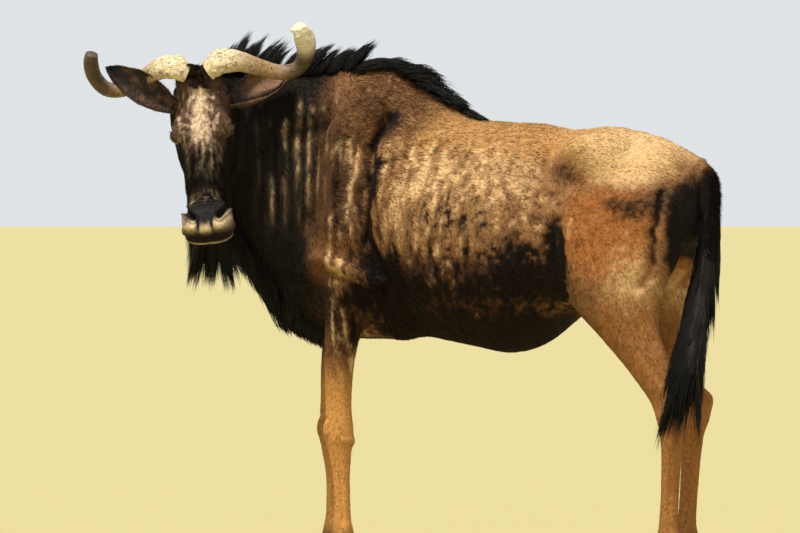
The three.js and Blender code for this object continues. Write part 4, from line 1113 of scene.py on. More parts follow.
COAT = {
    "flank": tone(140, 99, 62),
    "back": tone(170, 124, 72),
    "croup": tone(176, 138, 86),
    "ribs": tone(150, 112, 72),
    "ribs_low": tone(72, 47, 31),
    "belly": tone(46, 17, 8),
    "thigh": tone(166, 103, 53),
    "gaskin": tone(160, 106, 58),
    "shoulder": tone(74, 48, 31),
    "upper_arm": tone(112, 74, 44),
    "foreleg": tone(202, 144, 78),
    "hindleg": tone(160, 108, 58),
    "pastern": tone(78, 54, 34),
    "withers": tone(108, 73, 44),
    "neck": tone(17, 12, 9),
    "chest": tone(6, 5, 4),
    # Colours that the shade mark lightens and darkens towards: painted highlights and painted shade, as well
    # as pale and dark markings
    "body_light": tone(220, 180, 128),
    "body_dark": tone(22, 13, 8),
    "face_light": tone(240, 210, 172),
    "face_sides": tone(92, 68, 52),
    "cheek": tone(20, 15, 12),
    "muzzle": tone(11, 8, 7),
    "lip": tone(228, 200, 164),
    "hair": tone(12, 11, 10),
    "hair_brown": tone(62, 46, 34),
    "forelock": tone(98, 74, 56),
}
# Patches of the body's colour, laid on in order. Each is a colour, x, z, its two radii and how strong it is.
BODY_PATCHES = [
    ("back", 0.45, 1.25, 0.52, 0.12, 1.0),
    ("ribs", 0.24, 1.06, 0.2, 0.13, 0.9),
    ("croup", 0.72, 1.19, 0.19, 0.09, 0.9),
    # The low ribs and the belly are dark partly in their own colour and partly as painted shade under the
    # body
    ("ribs_low", 0.2, 0.8, 0.34, 0.12, 0.9),
    ("belly", 0.3, 0.67, 0.5, 0.11, 0.95),
    ("thigh", 0.68, 0.96, 0.15, 0.15, 0.9),
    ("gaskin", 0.75, 0.7, 0.15, 0.14, 0.8),
    ("withers", -0.02, 1.29, 0.2, 0.12, 0.9),
    ("shoulder", -0.12, 1.08, 0.13, 0.2, 0.9),
    ("upper_arm", -0.1, 0.86, 0.12, 0.11, 0.85),
    ("chest", -0.2, 0.76, 0.16, 0.1, 0.9),
]


def coat_color(f, p):
    """The markings of skin and coat by where a point is on the body, with the painted shade and highlights of
    the shade mark laid over them.
    """
    x, y, z = f.parts(p)
    patchy = f.noise(p, 7, 3, 0.6) - 0.5
    color = COAT["flank"]
    for name, cx, cz, rx, rz, strength in BODY_PATCHES:
        away = (((x - cx) / rx) ** 2 + ((z - cz) / rz) ** 2) ** 0.5 + patchy * 0.5
        color = f.mix(color, COAT[name], away.rise(1.15, 0.55) * strength)
    legs = z.rise(0.66, 0.56)
    hind = x.rise(0.3, 0.4)
    lower = f.mix(COAT["foreleg"], COAT["hindleg"], hind)
    lower = f.mix(lower, COAT["pastern"], (z + patchy * 0.1).rise(0.2, 0.1))
    lower = f.mix(lower, COAT["upper_arm"], (z + patchy * 0.16).rise(0.5, 0.66) * (1 - hind))
    color = f.mix(color, lower, legs)

    angle = (NECK_ROOT_X - x).sum("ARCTAN2", y + NECK_BEND_RADIUS)
    ahead = (NECK_ROOT_X - x).rise(-0.001, 0.001)
    arc = mixed(x, NECK_ROOT_X - angle * NECK_BEND_RADIUS, ahead)
    neck_on = (arc + patchy * 0.16 - (z - 1.1) * 0.12).rise(-0.17, -0.27) * z.rise(0.56, 0.66)
    color = f.mix(color, COAT["neck"], neck_on)
    far_chest = arc.rise(-0.2, -0.3) * z.rise(0.98, 0.84)
    color = f.mix(color, COAT["chest"], far_chest * 0.9)

    along, _, up = f.head_place(p)
    on_face = (along + patchy * 0.03).rise(0.0, 0.05) * z.rise(0.84, 0.88) * arc.rise(-0.34, -0.4)
    band = f.noise(p, 60, 3, 0.6) - 0.5
    face = f.mix(COAT["face_sides"], COAT["cheek"], (along + band * 0.05).rise(0.2, 0.3))
    face = f.mix(face, COAT["cheek"], up.rise(0.03, -0.01))
    face = f.mix(face, COAT["muzzle"], along.rise(0.36, 0.4))
    color = f.mix(color, face, on_face)
    # The shade mark darkens towards body_dark and lightens towards body_light and face_light: painted shade
    # and highlights, and the coat's own dark and pale markings
    shade = f.attribute("shade")
    color = f.mix(color, COAT["body_dark"], (0 - shade).rise(-0.05, 1.0) * (1 - on_face))
    light = f.mix(COAT["body_light"], COAT["face_light"], on_face)
    return f.mix(color, light, shade.rise(-0.05, 1.05) * 0.85)


def make_skin_finish():
    f = Finish("short coat over skin")
    p = f.place()
    color = f.mix(coat_color(f, p), COAT["lip"], f.attribute("lip"))
    lie = f.noise(f.stretch(p, (90, 260, 130)), 1.0, 2, 0.6)
    fine = f.noise(f.stretch(p, (300, 700, 420)), 1.0, 2, 0.6)
    hair = lie * 0.6 + fine * 0.4
    color = f.shade(color, hair.rise(0.25, 0.75) * 0.5 + 0.65)
    along, out, up = f.head_place(p)
    across = (out - 0.005).size()
    wet = along.rise(0.43, 0.445) * along.rise(0.56, 0.52) * up.rise(0.015, 0.025) * across.rise(0.032, 0.022)
    rough = 0.86 - wet * 0.22
    return f.surface({"Base Color": color, "Roughness": rough, "Specular IOR Level": 0.16}, hair, 0.6, 0.002)


# Horns, ears, eyes and hooves
SIDES = {-1: "left", 1: "right"}


def spline(points, share):
    """Places along a smooth line through points, at shares of the way from its start to its end."""
    p = np.array([points[0], *points, points[-1]], float)
    p[0], p[-1] = 2 * p[1] - p[2], 2 * p[-2] - p[-3]
    t = np.asarray(share) * (len(points) - 1)
    i = np.minimum(t.astype(int), len(points) - 2)
    u = (t - i)[:, None]
    a, b, c, d = p[i], p[i + 1], p[i + 2], p[i + 3]
    return 0.5 * (2 * b + (c - a) * u + (2 * a - 5 * b + 4 * c - d) * u**2 + (3 * b - a - 3 * c + d) * u**3)


def make_horn(side):
    rings_along, segments = 120, 40
    axis = HEAD_AXES[0]
    reach = RIGHT_HORN_REACH if side > 0 else -1
    share = np.linspace(0, RIGHT_HORN_SHARE if side > 0 else 1, rings_along)
    line = spline([head_point(a, reach * o, u) for o, u, a, _, _ in HORN], share)
    radius_at = smooth_rows([(i / (len(HORN) - 1), row[3], row[4]) for i, row in enumerate(HORN)])
    _, (deep, high) = radius_at(share)
    if side < 0:
        wider = mixed(1, BLUNT_TIP, np.clip(share * 4 - 2.7, 0, 1))
        deep, high = deep * wider, high * wider
    tangent = unit(np.gradient(line, axis=0))
    bm = bmesh.new()
    rings = []
    for i in range(rings_along):
        across = unit(axis - tangent[i] * dot(axis, tangent[i]))
        rings.append((line[i], across * deep[i], np.cross(tangent[i], across) * high[i]))
    rows = loft(bm, rings, segments)
    p = vertices_of(bm)
    index = {v: n for n, v in enumerate(bm.verts)}
    for i, row in enumerate(rows):
        own = [index[v] for v in row]
        away = p[own] - line[i]
        boss = 1 - rise(share[i], 0.16, 0.34)
        tip = rise(share[i], 0.86, 1.0) if side < 0 else 0
        rough = 0.16 * lumps(p[own], 55, 11) + 0.1 * lumps(p[own], 150, 12)
        cracks = -0.1 * hill(lumps(p[own], 42, 13), 0, 0.05)
        growth = 0.02 * math.sin(share[i] * 260) * window(share[i], 0.2, 0.35, 0.6, 0.8)
        chip = 0.5 * (lumps(p[own], 70, 14) - 0.1) * tip
        scale = 1 + boss * (rough + cracks) + growth + chip + 0.02 * lumps(p[own], 60, 15)
        p[own] = line[i] + away * np.asarray(scale)[:, None]
    move_vertices(bm, p)
    bmesh.ops.recalc_face_normals(bm, faces=bm.faces)
    return add_piece(bm, f"horn_shell_{SIDES[side]}", horn_finish, [f"horn_{SIDES[side]}"])


# How wide an ear is at shares of its length
EAR_OUTLINE = [
    (0, 0.3),
    (0.05, 0.46),
    (0.2, 0.78),
    (0.43, 1),
    (0.65, 0.92),
    (0.85, 0.6),
    (0.955, 0.26),
    (1, 0.05),
]
EAR_WAYS = {1: head_way(-0.44, 1, 0.7), -1: head_way(-0.62, -0.8, -0.25)}
EAR_WALL = 0.0035


def ear_axes(side):
    way = np.array(EAR_WAYS[side])
    opening = np.array(head_way(0.25, 0, 1))
    cup = unit(opening - way * dot(opening, way))
    return np.array(head_point(0.08, side * 0.068, 0.014)), way, cup, np.cross(way, cup)


def ear_sheet(side, share, turn, shrink=0.0):
    """Points of an ear's cup: share runs from root to tip, and turn from one edge to the other, -1 to 1."""
    root, way, cup, wide = ear_axes(side)
    width = np.interp(share, *zip(*EAR_OUTLINE))
    curl = np.radians(mixed(128, 74, rise(share, 0.05, 0.95))) * turn
    half = EAR_HALF_WIDTH * width - shrink
    deep = EAR_HALF_DEPTH * (0.35 + 0.65 * width) - shrink
    p = root + way * (share * EAR_LENGTH)[..., None]
    p = p + wide * (np.sin(curl) * half)[..., None] - cup * (np.cos(curl) * deep)[..., None]
    return p + cup * (0.012 * np.sin(share * 3.0) * share)[..., None]


def make_ear(side):
    bm = bmesh.new()
    bmesh.ops.create_grid(bm, x_segments=44, y_segments=22, size=1)
    flat = vertices_of(bm)
    share = (flat[:, 0] + 1) / 2
    p = ear_sheet(side, share, flat[:, 1], 0.001)
    p = p + lumps(p, 60, 21)[:, None] * 0.003
    move_vertices(bm, p)
    bmesh.ops.recalc_face_normals(bm, faces=bm.faces)
    bmesh.ops.solidify(bm, geom=bm.faces, thickness=EAR_WALL)
    bmesh.ops.recalc_face_normals(bm, faces=bm.faces)
    return add_piece(bm, f"ear_cup_{SIDES[side]}", ear_finish, [f"ear_{SIDES[side]}"])


def make_eye(side):
    centre, across, over, look = eye_axes(side)
    bm = bmesh.new()
    bmesh.ops.create_uvsphere(bm, u_segments=64, v_segments=40, radius=EYE_RADIUS)
    p = vertices_of(bm) @ np.array([across, over, look])
    front = dot(unit(p), look)
    p = p * (1 + 0.035 * rise(front, 0.8, 0.97))[:, None] + centre
    move_vertices(bm, p)
    bmesh.ops.recalc_face_normals(bm, faces=bm.faces)
    return add_piece(bm, f"eyeball_{SIDES[side]}", eye_finishes[side], [f"eye_{SIDES[side]}"])


def claw_ring(z, x, y, inward, angle):
    """One level of a claw: pointed in front, flat on the side that faces the other claw."""
    share = z / HOOF_TOP
    long = mixed(CLAW_LENGTH, 0.062, share) / 2
    wide = mixed(CLAW_WIDTH, 0.037, share) / 2
    point = 0.5 - 0.5 * np.cos(angle)
    flank = np.sin(angle) * (1 - 0.45 * point**2)
    inner = np.where(np.sign(flank) == inward, 0.78, 1)
    ridge = 1 + 0.008 * math.sin(z * 900) * rise(z, 0.01, 0.02)
    shift = mixed(-0.016, 0.002, share)
    along, across = long * ridge * np.cos(angle), wide * ridge * flank * inner
    return np.stack([x + shift + along, y + across, z + 0 * angle], -1)


DEWCLAW_ROOT = (0.014, 0.019, 0.128)
DEWCLAW_TIP = (0.052, 0.02375, 0.096)


def make_claw(name, which, lateral):
    _, cx, cy, _, _ = leg_middle(name, HOOF_TOP)
    bm = bmesh.new()
    levels = [0.0006, 0.0025, *np.linspace(0.006, HOOF_TOP, 22)]
    rows = loft(bm, [((0, 0, z), (1, 0, 0), (0, 1, 0)) for z in levels], 36)
    for z, row in zip(levels, rows):
        angle = np.array([math.atan2(v.co.y, v.co.x) for v in row])
        p = claw_ring(z, float(cx), float(cy) + lateral * CLAW_SPREAD, -lateral, angle)
        if z < 0.002:
            middle = p.mean(0)
            p = middle + (p - middle) * 0.95
        for v, place in zip(row, p):
            v.co = place
    for v in rows[0]:
        v.co.z = 0
    bmesh.ops.recalc_face_normals(bm, faces=bm.faces)
    add_piece(bm, f"claw_{name}_{which}", hoof_finish, [f"hoof_{name}_{which}"])


def make_dewclaw(name, which, lateral):
    _, cx, cy, _, _ = leg_middle(name, 0.122)
    root, tip = (np.array([cx + x, cy + lateral * y, z]) for x, y, z in (DEWCLAW_ROOT, DEWCLAW_TIP))
    bm = bmesh.new()
    rings = []
    for t in np.linspace(0, 1, 14):
        size = mixed(0.0135, 0.0075, t**1.5) * math.sqrt(max(0.06, 1 - max(0, (t - 0.8) / 0.2) ** 2))
        rings.append((mixed(root, tip, t), (0, size * 0.95, 0), (0.65 * size, 0, 0.76 * size)))
    loft(bm, rings, 20)
    bmesh.ops.recalc_face_normals(bm, faces=bm.faces)
    add_piece(bm, f"spur_{name}_{which}", hoof_finish, [f"dewclaw_{name}_{which}"])


def make_hooves(name):
    for which, way in (("inner", -1), ("outer", 1)):
        lateral = LEGS[name][2] * way
        make_claw(name, which, lateral)
        make_dewclaw(name, which, lateral)


def make_horn_finish():
    f = Finish("worn horn")
    p = f.place()
    _, out, up = f.head_place(p)
    grainy = f.noise(p, 70, 4, 0.6)
    streak = f.noise(f.stretch(p, (40, 200, 200)), 1.0, 3, 0.6)
    away = out.size()
    color = f.mix(tone(218, 198, 154), tone(160, 126, 84), (away + (grainy - 0.5) * 0.05).rise(0.08, 0.17))
    # Darker further out: the horn's own darker outer part, with painted shade on the lower bend, which faces
    # down
    color = f.mix(color, tone(84, 64, 45), (away + (grainy - 0.5) * 0.1).rise(0.19, 0.27))
    furrows = f.noise(f.stretch(p, (26, 150, 150)), 1.0, 3, 0.65)
    color = f.mix(color, tone(52, 38, 27), furrows.rise(0.52, 0.68) * away.rise(0.09, 0.15) * 0.8)
    light_tip = out.rise(-0.2, -0.26) * up.rise(0.05, 0.1)
    color = f.mix(color, tone(226, 214, 182), light_tip * 0.95)
    cracks = f.noise(p, 42, 2, 0.5)
    crack = (cracks - 0.5).size().rise(0.035, 0.0) * away.rise(0.15, 0.1)
    color = f.mix(color, tone(74, 54, 36), crack * 0.75)
    color = f.shade(color, streak.rise(0.2, 0.8) * 0.6 + 0.58)
    heights = streak * 0.6 + grainy * 0.6
    return f.surface({"Base Color": color, "Roughness": 0.5 + grainy * 0.2}, heights, 0.5, 0.002)


def make_ear_finish():
    f = Finish("ear")
    p = f.place()
    out = f.measure(p, POLL, head_out)
    patchy = f.noise(p, 40, 3, 0.6)
    hair = f.noise(f.stretch(p, (200, 200, 500)), 1.0, 2, 0.6)
    color = f.mix(tone(40, 30, 23), tone(112, 80, 54), patchy.rise(0.42, 0.66) * 0.8)
    # The left ear is painted lighter: painted light on its inside, which faces the light
    color = f.mix(color, tone(150, 112, 78), out.rise(-0.08, -0.16) * 0.6)
    color = f.mix(color, tone(24, 19, 16), (out + (patchy - 0.5) * 0.04).rise(0.19, 0.22))
    color = f.shade(color, hair * 0.5 + 0.75)
    return f.surface({"Base Color": color, "Roughness": 0.8}, hair, 0.5, 0.0015)


def make_eye_finish(side):
    f = Finish(f"wet eye {SIDES[side]}")
    p = f.place()
    centre, across, over, look = (Vector(v) for v in eye_axes(side))
    a, b, c = (f.measure(p, centre, axis) for axis in (across, over, look))
    radius = (a * a + b * b) ** 0.5
    rays = f.noise(f.vector(a * 300, b * 300, 0.0), 1.0, 3, 0.6)
    iris = f.mix(tone(52, 28, 14), tone(92, 54, 26), rays.rise(0.35, 0.65) * radius.rise(0.004, 0.0105))
    pupil = ((a / 1.7) ** 2 + b * b) ** 0.5
    color = f.mix(iris, tone(6, 4, 4), pupil.rise(0.0048, 0.0038))
    color = f.mix(color, tone(22, 14, 10), radius.rise(0.0118, 0.0135))
    color = f.mix(color, tone(26, 18, 14), c.rise(0.014, 0.008))
    gloss = {"Roughness": 0.2, "Specular IOR Level": 0.3, "Coat Weight": 0.15, "Coat Roughness": 0.1}
    return f.surface({"Base Color": color, **gloss})


def make_hoof_finish():
    f = Finish("black hoof")
    p = f.place()
    _, _, z = f.parts(p)
    bands = f.noise(f.stretch(p, (12, 12, 260)), 1.0, 3, 0.5)
    scuffs = f.noise(p, 120, 4, 0.65)
    color = f.mix(tone(34, 29, 26), tone(66, 56, 46), bands.rise(0.4, 0.7))
    color = f.mix(color, tone(122, 104, 80), (z + (scuffs - 0.5) * 0.02).rise(0.014, 0.002) * 0.6)
    heights = bands + scuffs * 0.5
    return f.surface({"Base Color": color, "Roughness": 0.45 + scuffs * 0.25}, heights, 0.4, 0.001)


# Coat and long hair
BAKE_PATCH = 0.003


def hair_mesh(name, rows, flat, wide, thick, uv, marks):
    """A mesh of tapered three-sided hairs. rows holds a point of every hair at each step, root to tip."""
    steps, count = len(rows), len(rows[0])
    tangent = unit(np.gradient(rows, axis=0))
    side = unit(flat[None] - tangent * dot(tangent, np.broadcast_to(flat, tangent.shape))[..., None])
    over = np.cross(tangent, side)
    places = []
    for i in range(steps - 1):
        half, high = wide[i][:, None] / 2, thick[i][:, None]
        left, right = rows[i] - side[i] * half, rows[i] + side[i] * half
        places.append(np.stack([left, right, rows[i] + over[i] * high], 1))
    rings = np.concatenate(places, 1)
    per_hair = rings.shape[1] + 1
    points = np.concatenate([rings, rows[-1][:, None]], 1).reshape(-1, 3)
    faces = [(0, 1, 2)]
    for i in range(steps - 2):
        for k in range(3):
            a, b = 3 * i + k, 3 * i + (k + 1) % 3
            faces += [(a, a + 3, b), (b, a + 3, b + 3)]
    last = 3 * (steps - 2)
    faces += [(last + k, per_hair - 1, last + (k + 1) % 3) for k in range(3)]
    faces = np.array(faces)
    corners = (faces[None] + (np.arange(count) * per_hair)[:, None, None]).reshape(-1, 3)
    a, b, c = (points[corners[: len(faces), k]] for k in range(3))
    if np.sum(dot(a, np.cross(b, c))) - np.sum(dot(np.cross(b - a, c - a), points[:per_hair].mean(0))) < 0:
        corners = corners[:, ::-1]
    mesh = bpy.data.meshes.new(name)
    mesh.vertices.add(len(points))
    put_points(mesh, points + np.array(SHIFT))
    mesh.loops.add(corners.size)
    mesh.loops.foreach_set("vertex_index", corners.ravel().astype(np.int32))
    mesh.polygons.add(len(corners))
    mesh.polygons.foreach_set("loop_start", np.arange(len(corners), dtype=np.int32) * 3)
    reach = np.append(np.repeat(np.linspace(0, 1, steps)[:-1], 3), 1)
    mark_points(mesh, "reach", np.tile(reach, count))
    for mark, values in marks.items():
        mark_points(mesh, mark, np.repeat(values, per_hair))
    across = np.append(np.tile([0, 1, 0.5], steps - 1), 0.5)
    patch = np.stack([across, reach], -1) * BAKE_PATCH
    spots = (uv[:, None] + patch[None]).reshape(-1, 2)
    layer = mesh.uv_layers.new(name="OFBake")
    layer.uv.foreach_set("vector", spots[corners.ravel()].ravel())
    mesh.update()
    mesh.validate()
    return mesh


def bent_rows(root, rising, falling, length, bend, steps):
    """Points along hairs that leave the root one way and bend over to another."""
    knee = root + rising * (length * bend)[:, None]
    tip = knee + falling * (length * (1 - bend))[:, None]
    t = np.linspace(0, 1, steps)[:, None, None]
    return (1 - t) ** 2 * root + 2 * t * (1 - t) * knee + t * t * tip


def unwrap(p, region):
    """Where a root lies on a flat unwrap of the part of the skin that it grows from, 0.01 to 0.98."""
    if region == "face":
        along, out, up = head_place(p)
        u, v = along / 0.52, np.arctan2(out, up + 0.02) / (2 * np.pi) + 0.5
    elif region == "neck":
        degrees, side = neck_place(p)
        _, (crest, throat, _) = neck_at(degrees)
        u, v = (degrees + 20) / 100, np.arctan2(side, p[:, 2] - (crest + throat) / 2) / (2 * np.pi) + 0.5
    elif region == "legs":
        u, v = np.zeros(len(p)), np.clip(p[:, 2] / 0.75, 0, 1)
        for k, name in enumerate(LEGS):
            _, cx, cy, _, _ = leg_middle(name, p[:, 2])
            own = np.hypot(p[:, 0] - cx, p[:, 1] - cy) < 0.11
            turn = np.arctan2(p[:, 1] - cy, p[:, 0] - cx) / (2 * np.pi) + 0.5
            u = np.where(own, (k + turn) / 4, u)
    elif region == "tail":
        _, (cx, cy, _) = dock_at(p[:, 2])
        u = np.arctan2(p[:, 1] - cy, p[:, 0] - cx) / (2 * np.pi) + 0.5
        v = (p[:, 2] - 0.5) / 0.7
    else:
        u = (p[:, 0] + 0.4) / 1.35
        v = np.arctan2(p[:, 1], p[:, 2] - 0.97) / (2 * np.pi) + 0.5
    return np.stack([np.clip(u, 0, 1), np.clip(v, 0, 1)], -1) * 0.97 + 0.01


def scatter(mesh, rng, count, weigh):
    """Even random roots on a mesh, more where weigh says: their places and the way the skin faces."""
    mesh.calc_loop_triangles()
    corners = np.empty(len(mesh.loop_triangles) * 3, dtype=np.int32)
    mesh.loop_triangles.foreach_get("vertices", corners)
    corners = corners.reshape(-1, 3)
    p = points_of(mesh) - np.array(SHIFT)
    normals = np.empty(len(mesh.vertices) * 3)
    mesh.vertices.foreach_get("normal", normals)
    normals = normals.reshape(-1, 3)
    a, b, c = (p[corners[:, k]] for k in range(3))
    area = np.linalg.norm(np.cross(b - a, c - a), axis=1) * weigh((a + b + c) / 3)
    pick = rng.choice(len(corners), size=count, p=area / area.sum())
    u, v = rng.random(count), rng.random(count)
    fold = u + v > 1
    u, v = np.where(fold, 1 - u, u)[:, None], np.where(fold, 1 - v, v)[:, None]
    root = a[pick] + (b - a)[pick] * u + (c - a)[pick] * v
    n = [normals[corners[pick, k]] for k in range(3)]
    return root, unit(n[0] * (1 - u - v) + n[1] * u + n[2] * v)


def lie_of(p):
    """The way the short coat lies: back and down the body, down the legs, and down the face."""
    x, _, z = p.T
    down = rise(z, 1.2, 0.8)
    trunk_lie = np.stack([1 - 0.4 * down, 0 * x, -0.25 - 0.7 * down], -1)
    degrees, _ = neck_place(p)
    back = neck_point(degrees - 2, 0, 0) - neck_point(degrees, 0, 0)
    neck_lie = unit(back) * 0.6 + np.array([0, 0, -0.8])
    lie = mixed(trunk_lie, neck_lie, rise(degrees, -6, 10)[:, None] * rise(z, 0.6, 0.8)[:, None])
    lie = mixed(lie, np.array([0.06, 0, -1]), rise(z, 0.8, 0.62)[:, None])
    along, out, _ = HEAD_AXES
    face_lie = along + out * np.clip(head_place(p)[1] * 5, -0.5, 0.5)[:, None] + np.array([0, 0, -0.25])
    return mixed(lie, face_lie, head_share(p)[:, None])


def inside_features(p):
    """True in the openings of the eyes, the nostrils and the mouth."""
    along, _, up = head_place(p)
    shut = np.zeros(len(p), bool)
    for side in (1, -1):
        gap, ahead = lid_gap(p, side)
        shut |= (gap < 0.003) & (ahead > 0)
        shut |= (nostril_share(p, side)[1] < 1.35) & (along > 0.4) & (up > 0)
    shut |= (np.abs(up - mouth_height(along)) < 0.006) & (along > 0.36)
    return shut & on_head(p)


# Short coat by region: how many tufts, their length and width, and how far they stand out
COAT_PIECES = {
    "shoulders": (36000, 0.015, 0.0028, 0.12),
    "barrel": (38000, 0.014, 0.0028, 0.11),
    "rump": (38000, 0.013, 0.0028, 0.1),
    "neck": (33000, 0.017, 0.0026, 0.14),
    "legs": (30000, 0.011, 0.0024, 0.11),
    "face": (42000, 0.01, 0.0016, 0.2),
    "tail": (3000, 0.022, 0.0026, 0.16),
}


def region_share(p, region):
    """1 where a region's coat grows."""
    x, _, z = p.T
    face = head_share(p) > 0.5
    on_tail = (dock(p) < 0.004) & (x > 0.875)
    on_legs = (z < 0.64) & (trunk(p) > 0.02) & ~on_tail
    on_neck = (neck_place(p)[0] > 2) & ~face & ~on_legs
    rest = ~(face | on_tail | on_legs | on_neck)
    masks = {
        "face": face & (head_place(p)[0] < 0.42),
        "tail": on_tail & (z > 0.9),
        "legs": on_legs & (z > 0.066),
        "neck": on_neck,
        "shoulders": rest & (x < 0.1),
        "barrel": rest & (x >= 0.1) & (x < 0.46),
        "rump": rest & (x >= 0.46),
    }
    return masks[region].astype(float)


def make_coat(skin_mesh, region):
    count, length, width, stand = COAT_PIECES[region]
    rng = np.random.default_rng(sum(map(ord, region)))
    root, normal = scatter(skin_mesh, rng, count, lambda p: region_share(p, region))
    keep = ~inside_features(root)
    root, normal = root[keep], normal[keep]
    count = len(root)
    lie = lie_of(root) + rng.normal(0, 0.34 if region == "face" else 0.16, (count, 3))
    lie = unit(lie - normal * dot(lie, normal)[:, None])
    long = length * rng.uniform(0.7, 1.25, count)
    if region == "face":
        along, _, up = head_place(root)
        bushy = rise(along, 0.2, 0.27) * rise(along, 0.42, 0.36) * rise(up, -0.02, 0.03)
        near_eye = np.minimum(lid_gap(root, 1)[0], lid_gap(root, -1)[0])
        long = long * (1 + 1.1 * bushy) * mixed(0.45, 1, rise(near_eye, 0.004, 0.02))
        long = long * mixed(1, 0.5, rise(along, 0.38, 0.42))
        stand = stand * (1 + 0.8 * bushy)
    rising = unit(lie + normal * (stand * rng.uniform(1.2, 3.0, count))[:, None])
    falling = unit(lie + normal * rng.uniform(-0.02, 0.08, count)[:, None] + rng.normal(0, 0.08, (count, 3)))
    rows = bent_rows(root - normal * 0.0008, rising, falling, long, np.full(count, 0.45), 2)
    wide = 0.8 * width * rng.uniform(0.75, 1.2, count)
    marks = {"tone": rng.random(count), "shade": coat_shade(root)}
    name = f"coat_{region}"
    mesh = hair_mesh(name, rows, np.cross(normal, lie), [wide], [wide * 0.28], unwrap(root, region), marks)
    return dress(mesh, name, coat_finish, ())


def surface_root(inside, way, far=0.45):
    """Where lines from inside the body come out through the skin."""
    near, far = np.zeros(len(inside)), np.full(len(inside), far)
    for _ in range(22):
        middle = (near + far) / 2
        within = flesh(inside + way * middle[:, None]) < -0.004
        near, far = np.where(within, middle, near), np.where(within, far, middle)
    return inside + way * near[:, None]


def clumped(seed, count, clumps, spread, in_order=True, crowding=1):
    """Deals hairs out to clumps along a row: the draws, the clump of each hair, and its share of the way."""
    rng = np.random.default_rng(seed)
    clump = rng.integers(0, clumps, count)
    middle = rng.random(clumps) ** crowding
    if in_order:
        middle.sort()
    return rng, clump, np.clip(middle[clump] + rng.normal(0, spread, count), 0, 1)


def uneven(rng, clump, clumps, by_clump, by_hair):
    """Draws for the lengths of hairs: one for each clump, times one for each hair."""
    return rng.uniform(*by_clump, clumps)[clump] * rng.uniform(*by_hair, len(clump))


def gathered(root, rising, falling, length, clump, rng, pull=0.6):
    """Hairs of one clump lean together: their tips are drawn to the middle of the clump's tips."""
    tip = root + rising * (length * 0.5)[:, None] + falling * (length * 0.5)[:, None]
    count = clump.max() + 1
    size = np.bincount(clump, minlength=count)[:, None]
    middle = np.stack([np.bincount(clump, tip[:, k], count) for k in range(3)], -1) / np.maximum(size, 1)
    drawn = tip + (middle[clump] - tip) * (pull * rng.uniform(0.4, 1.0, len(root)))[:, None]
    return unit(drawn - root - rising * (length * 0.5)[:, None])


def make_hair(name, root, rising, falling, length, width, clump, rng, region, steps=5, bend=0.5, pull=0.6):
    falling = gathered(root, rising, falling, length, clump, rng, pull)
    rows = bent_rows(root - rising * 0.004, rising, falling, length, np.full(len(root), bend), steps)
    wave = np.sin(np.linspace(0, 3.0, steps))[:, None, None] * rng.normal(0, 0.02, (1, len(root), 3))
    rows = rows + wave * length[None, :, None] * np.linspace(0, 1, steps)[:, None, None]
    flat = unit(rng.normal(0, 1, (len(root), 3)))
    shape = np.interp(np.linspace(0, 1, steps)[:-1], [0, 0.3, 0.75, 1], [0.75, 1, 0.7, 0.1])
    wide = [width * s * rng.uniform(0.8, 1.2, len(root)) for s in shape]
    thick = [w * 0.5 for w in wide]
    tones = np.clip(rng.random(clump.max() + 1)[clump] * 0.6 + rng.random(len(root)) * 0.4, 0, 1)
    mesh = hair_mesh(name, rows, flat, wide, thick, unwrap(root, region), {"tone": tones})
    return dress(mesh, name, hair_finish, ())


UP = np.array([0, 0, 1.0])


def make_mane():
    """Upright hair along the crest of the neck, leaning back, in clumps."""
    count, clumps = 8200, 64
    rng, clump, share = clumped(11, count, clumps, 0.011)
    degrees = mixed(68, 3, share)
    _, (crest, _, _) = neck_at(degrees)
    out, back = neck_ways(degrees)
    row = rng.normal(0, 0.3, count)
    root = surface_root(neck_point(degrees, 0, crest - 0.06), unit(UP + out * (row * 0.8)[:, None]))
    lean = mixed(0.25, 0.8, share) + rng.random(clumps)[clump] * 0.35
    rising = unit(UP + out * (row * 0.35)[:, None] + back * (lean * 0.5)[:, None])
    falling = unit(UP * 0.8 + back * (lean * 1.4)[:, None] + out * (row * 0.4)[:, None])
    young = mixed(0.4, 1, rise(share, 0.0, 0.22))
    length = mixed(0.128, 0.1, share) * young * (1 - 0.35 * np.abs(row))
    length = length * uneven(rng, clump, clumps, (0.7, 1.18), (0.5, 1.06))
    return make_hair("mane", root, rising, falling, length, 0.0018, clump, rng, "neck", steps=4, pull=0.8)


def make_withers_mane():
    """The mane falls over the withers, along the back and over its left side."""
    count, clumps = 4200, 44
    rng, clump, share = clumped(23, count, clumps, 0.02)
    x = mixed(-0.13, 0.225, share)
    _, (back, _, _, _) = trunk_at(x)
    row = rng.normal(-0.08, 0.3, count)
    way = unit(np.stack([0 * x, row * 0.8, 1 + 0 * x], -1))
    root = surface_root(np.stack([x, 0 * x, back - 0.07], -1), way)
    droop = hill(share, 0.6, 0.1) * rise(-row, -0.1, 0.3)
    rising = unit(np.stack([0.85 + 0 * x, row * 0.5 - 0.1, mixed(0.5, -0.08, share)], -1))
    fall = mixed(-0.14, -0.5, share) - 0.9 * droop
    falling = unit(np.stack([1 - 0.3 * droop, row * 0.4 - 0.25, fall], -1))
    length = mixed(0.105, 0.06, rise(share, 0.5, 0.95)) + 0.05 * droop
    length = length * uneven(rng, clump, clumps, (0.75, 1.2), (0.5, 1.1))
    return make_hair(
        "withers_mane", root, rising, falling, length, 0.0018, clump, rng, "trunk", steps=4, pull=0.7
    )


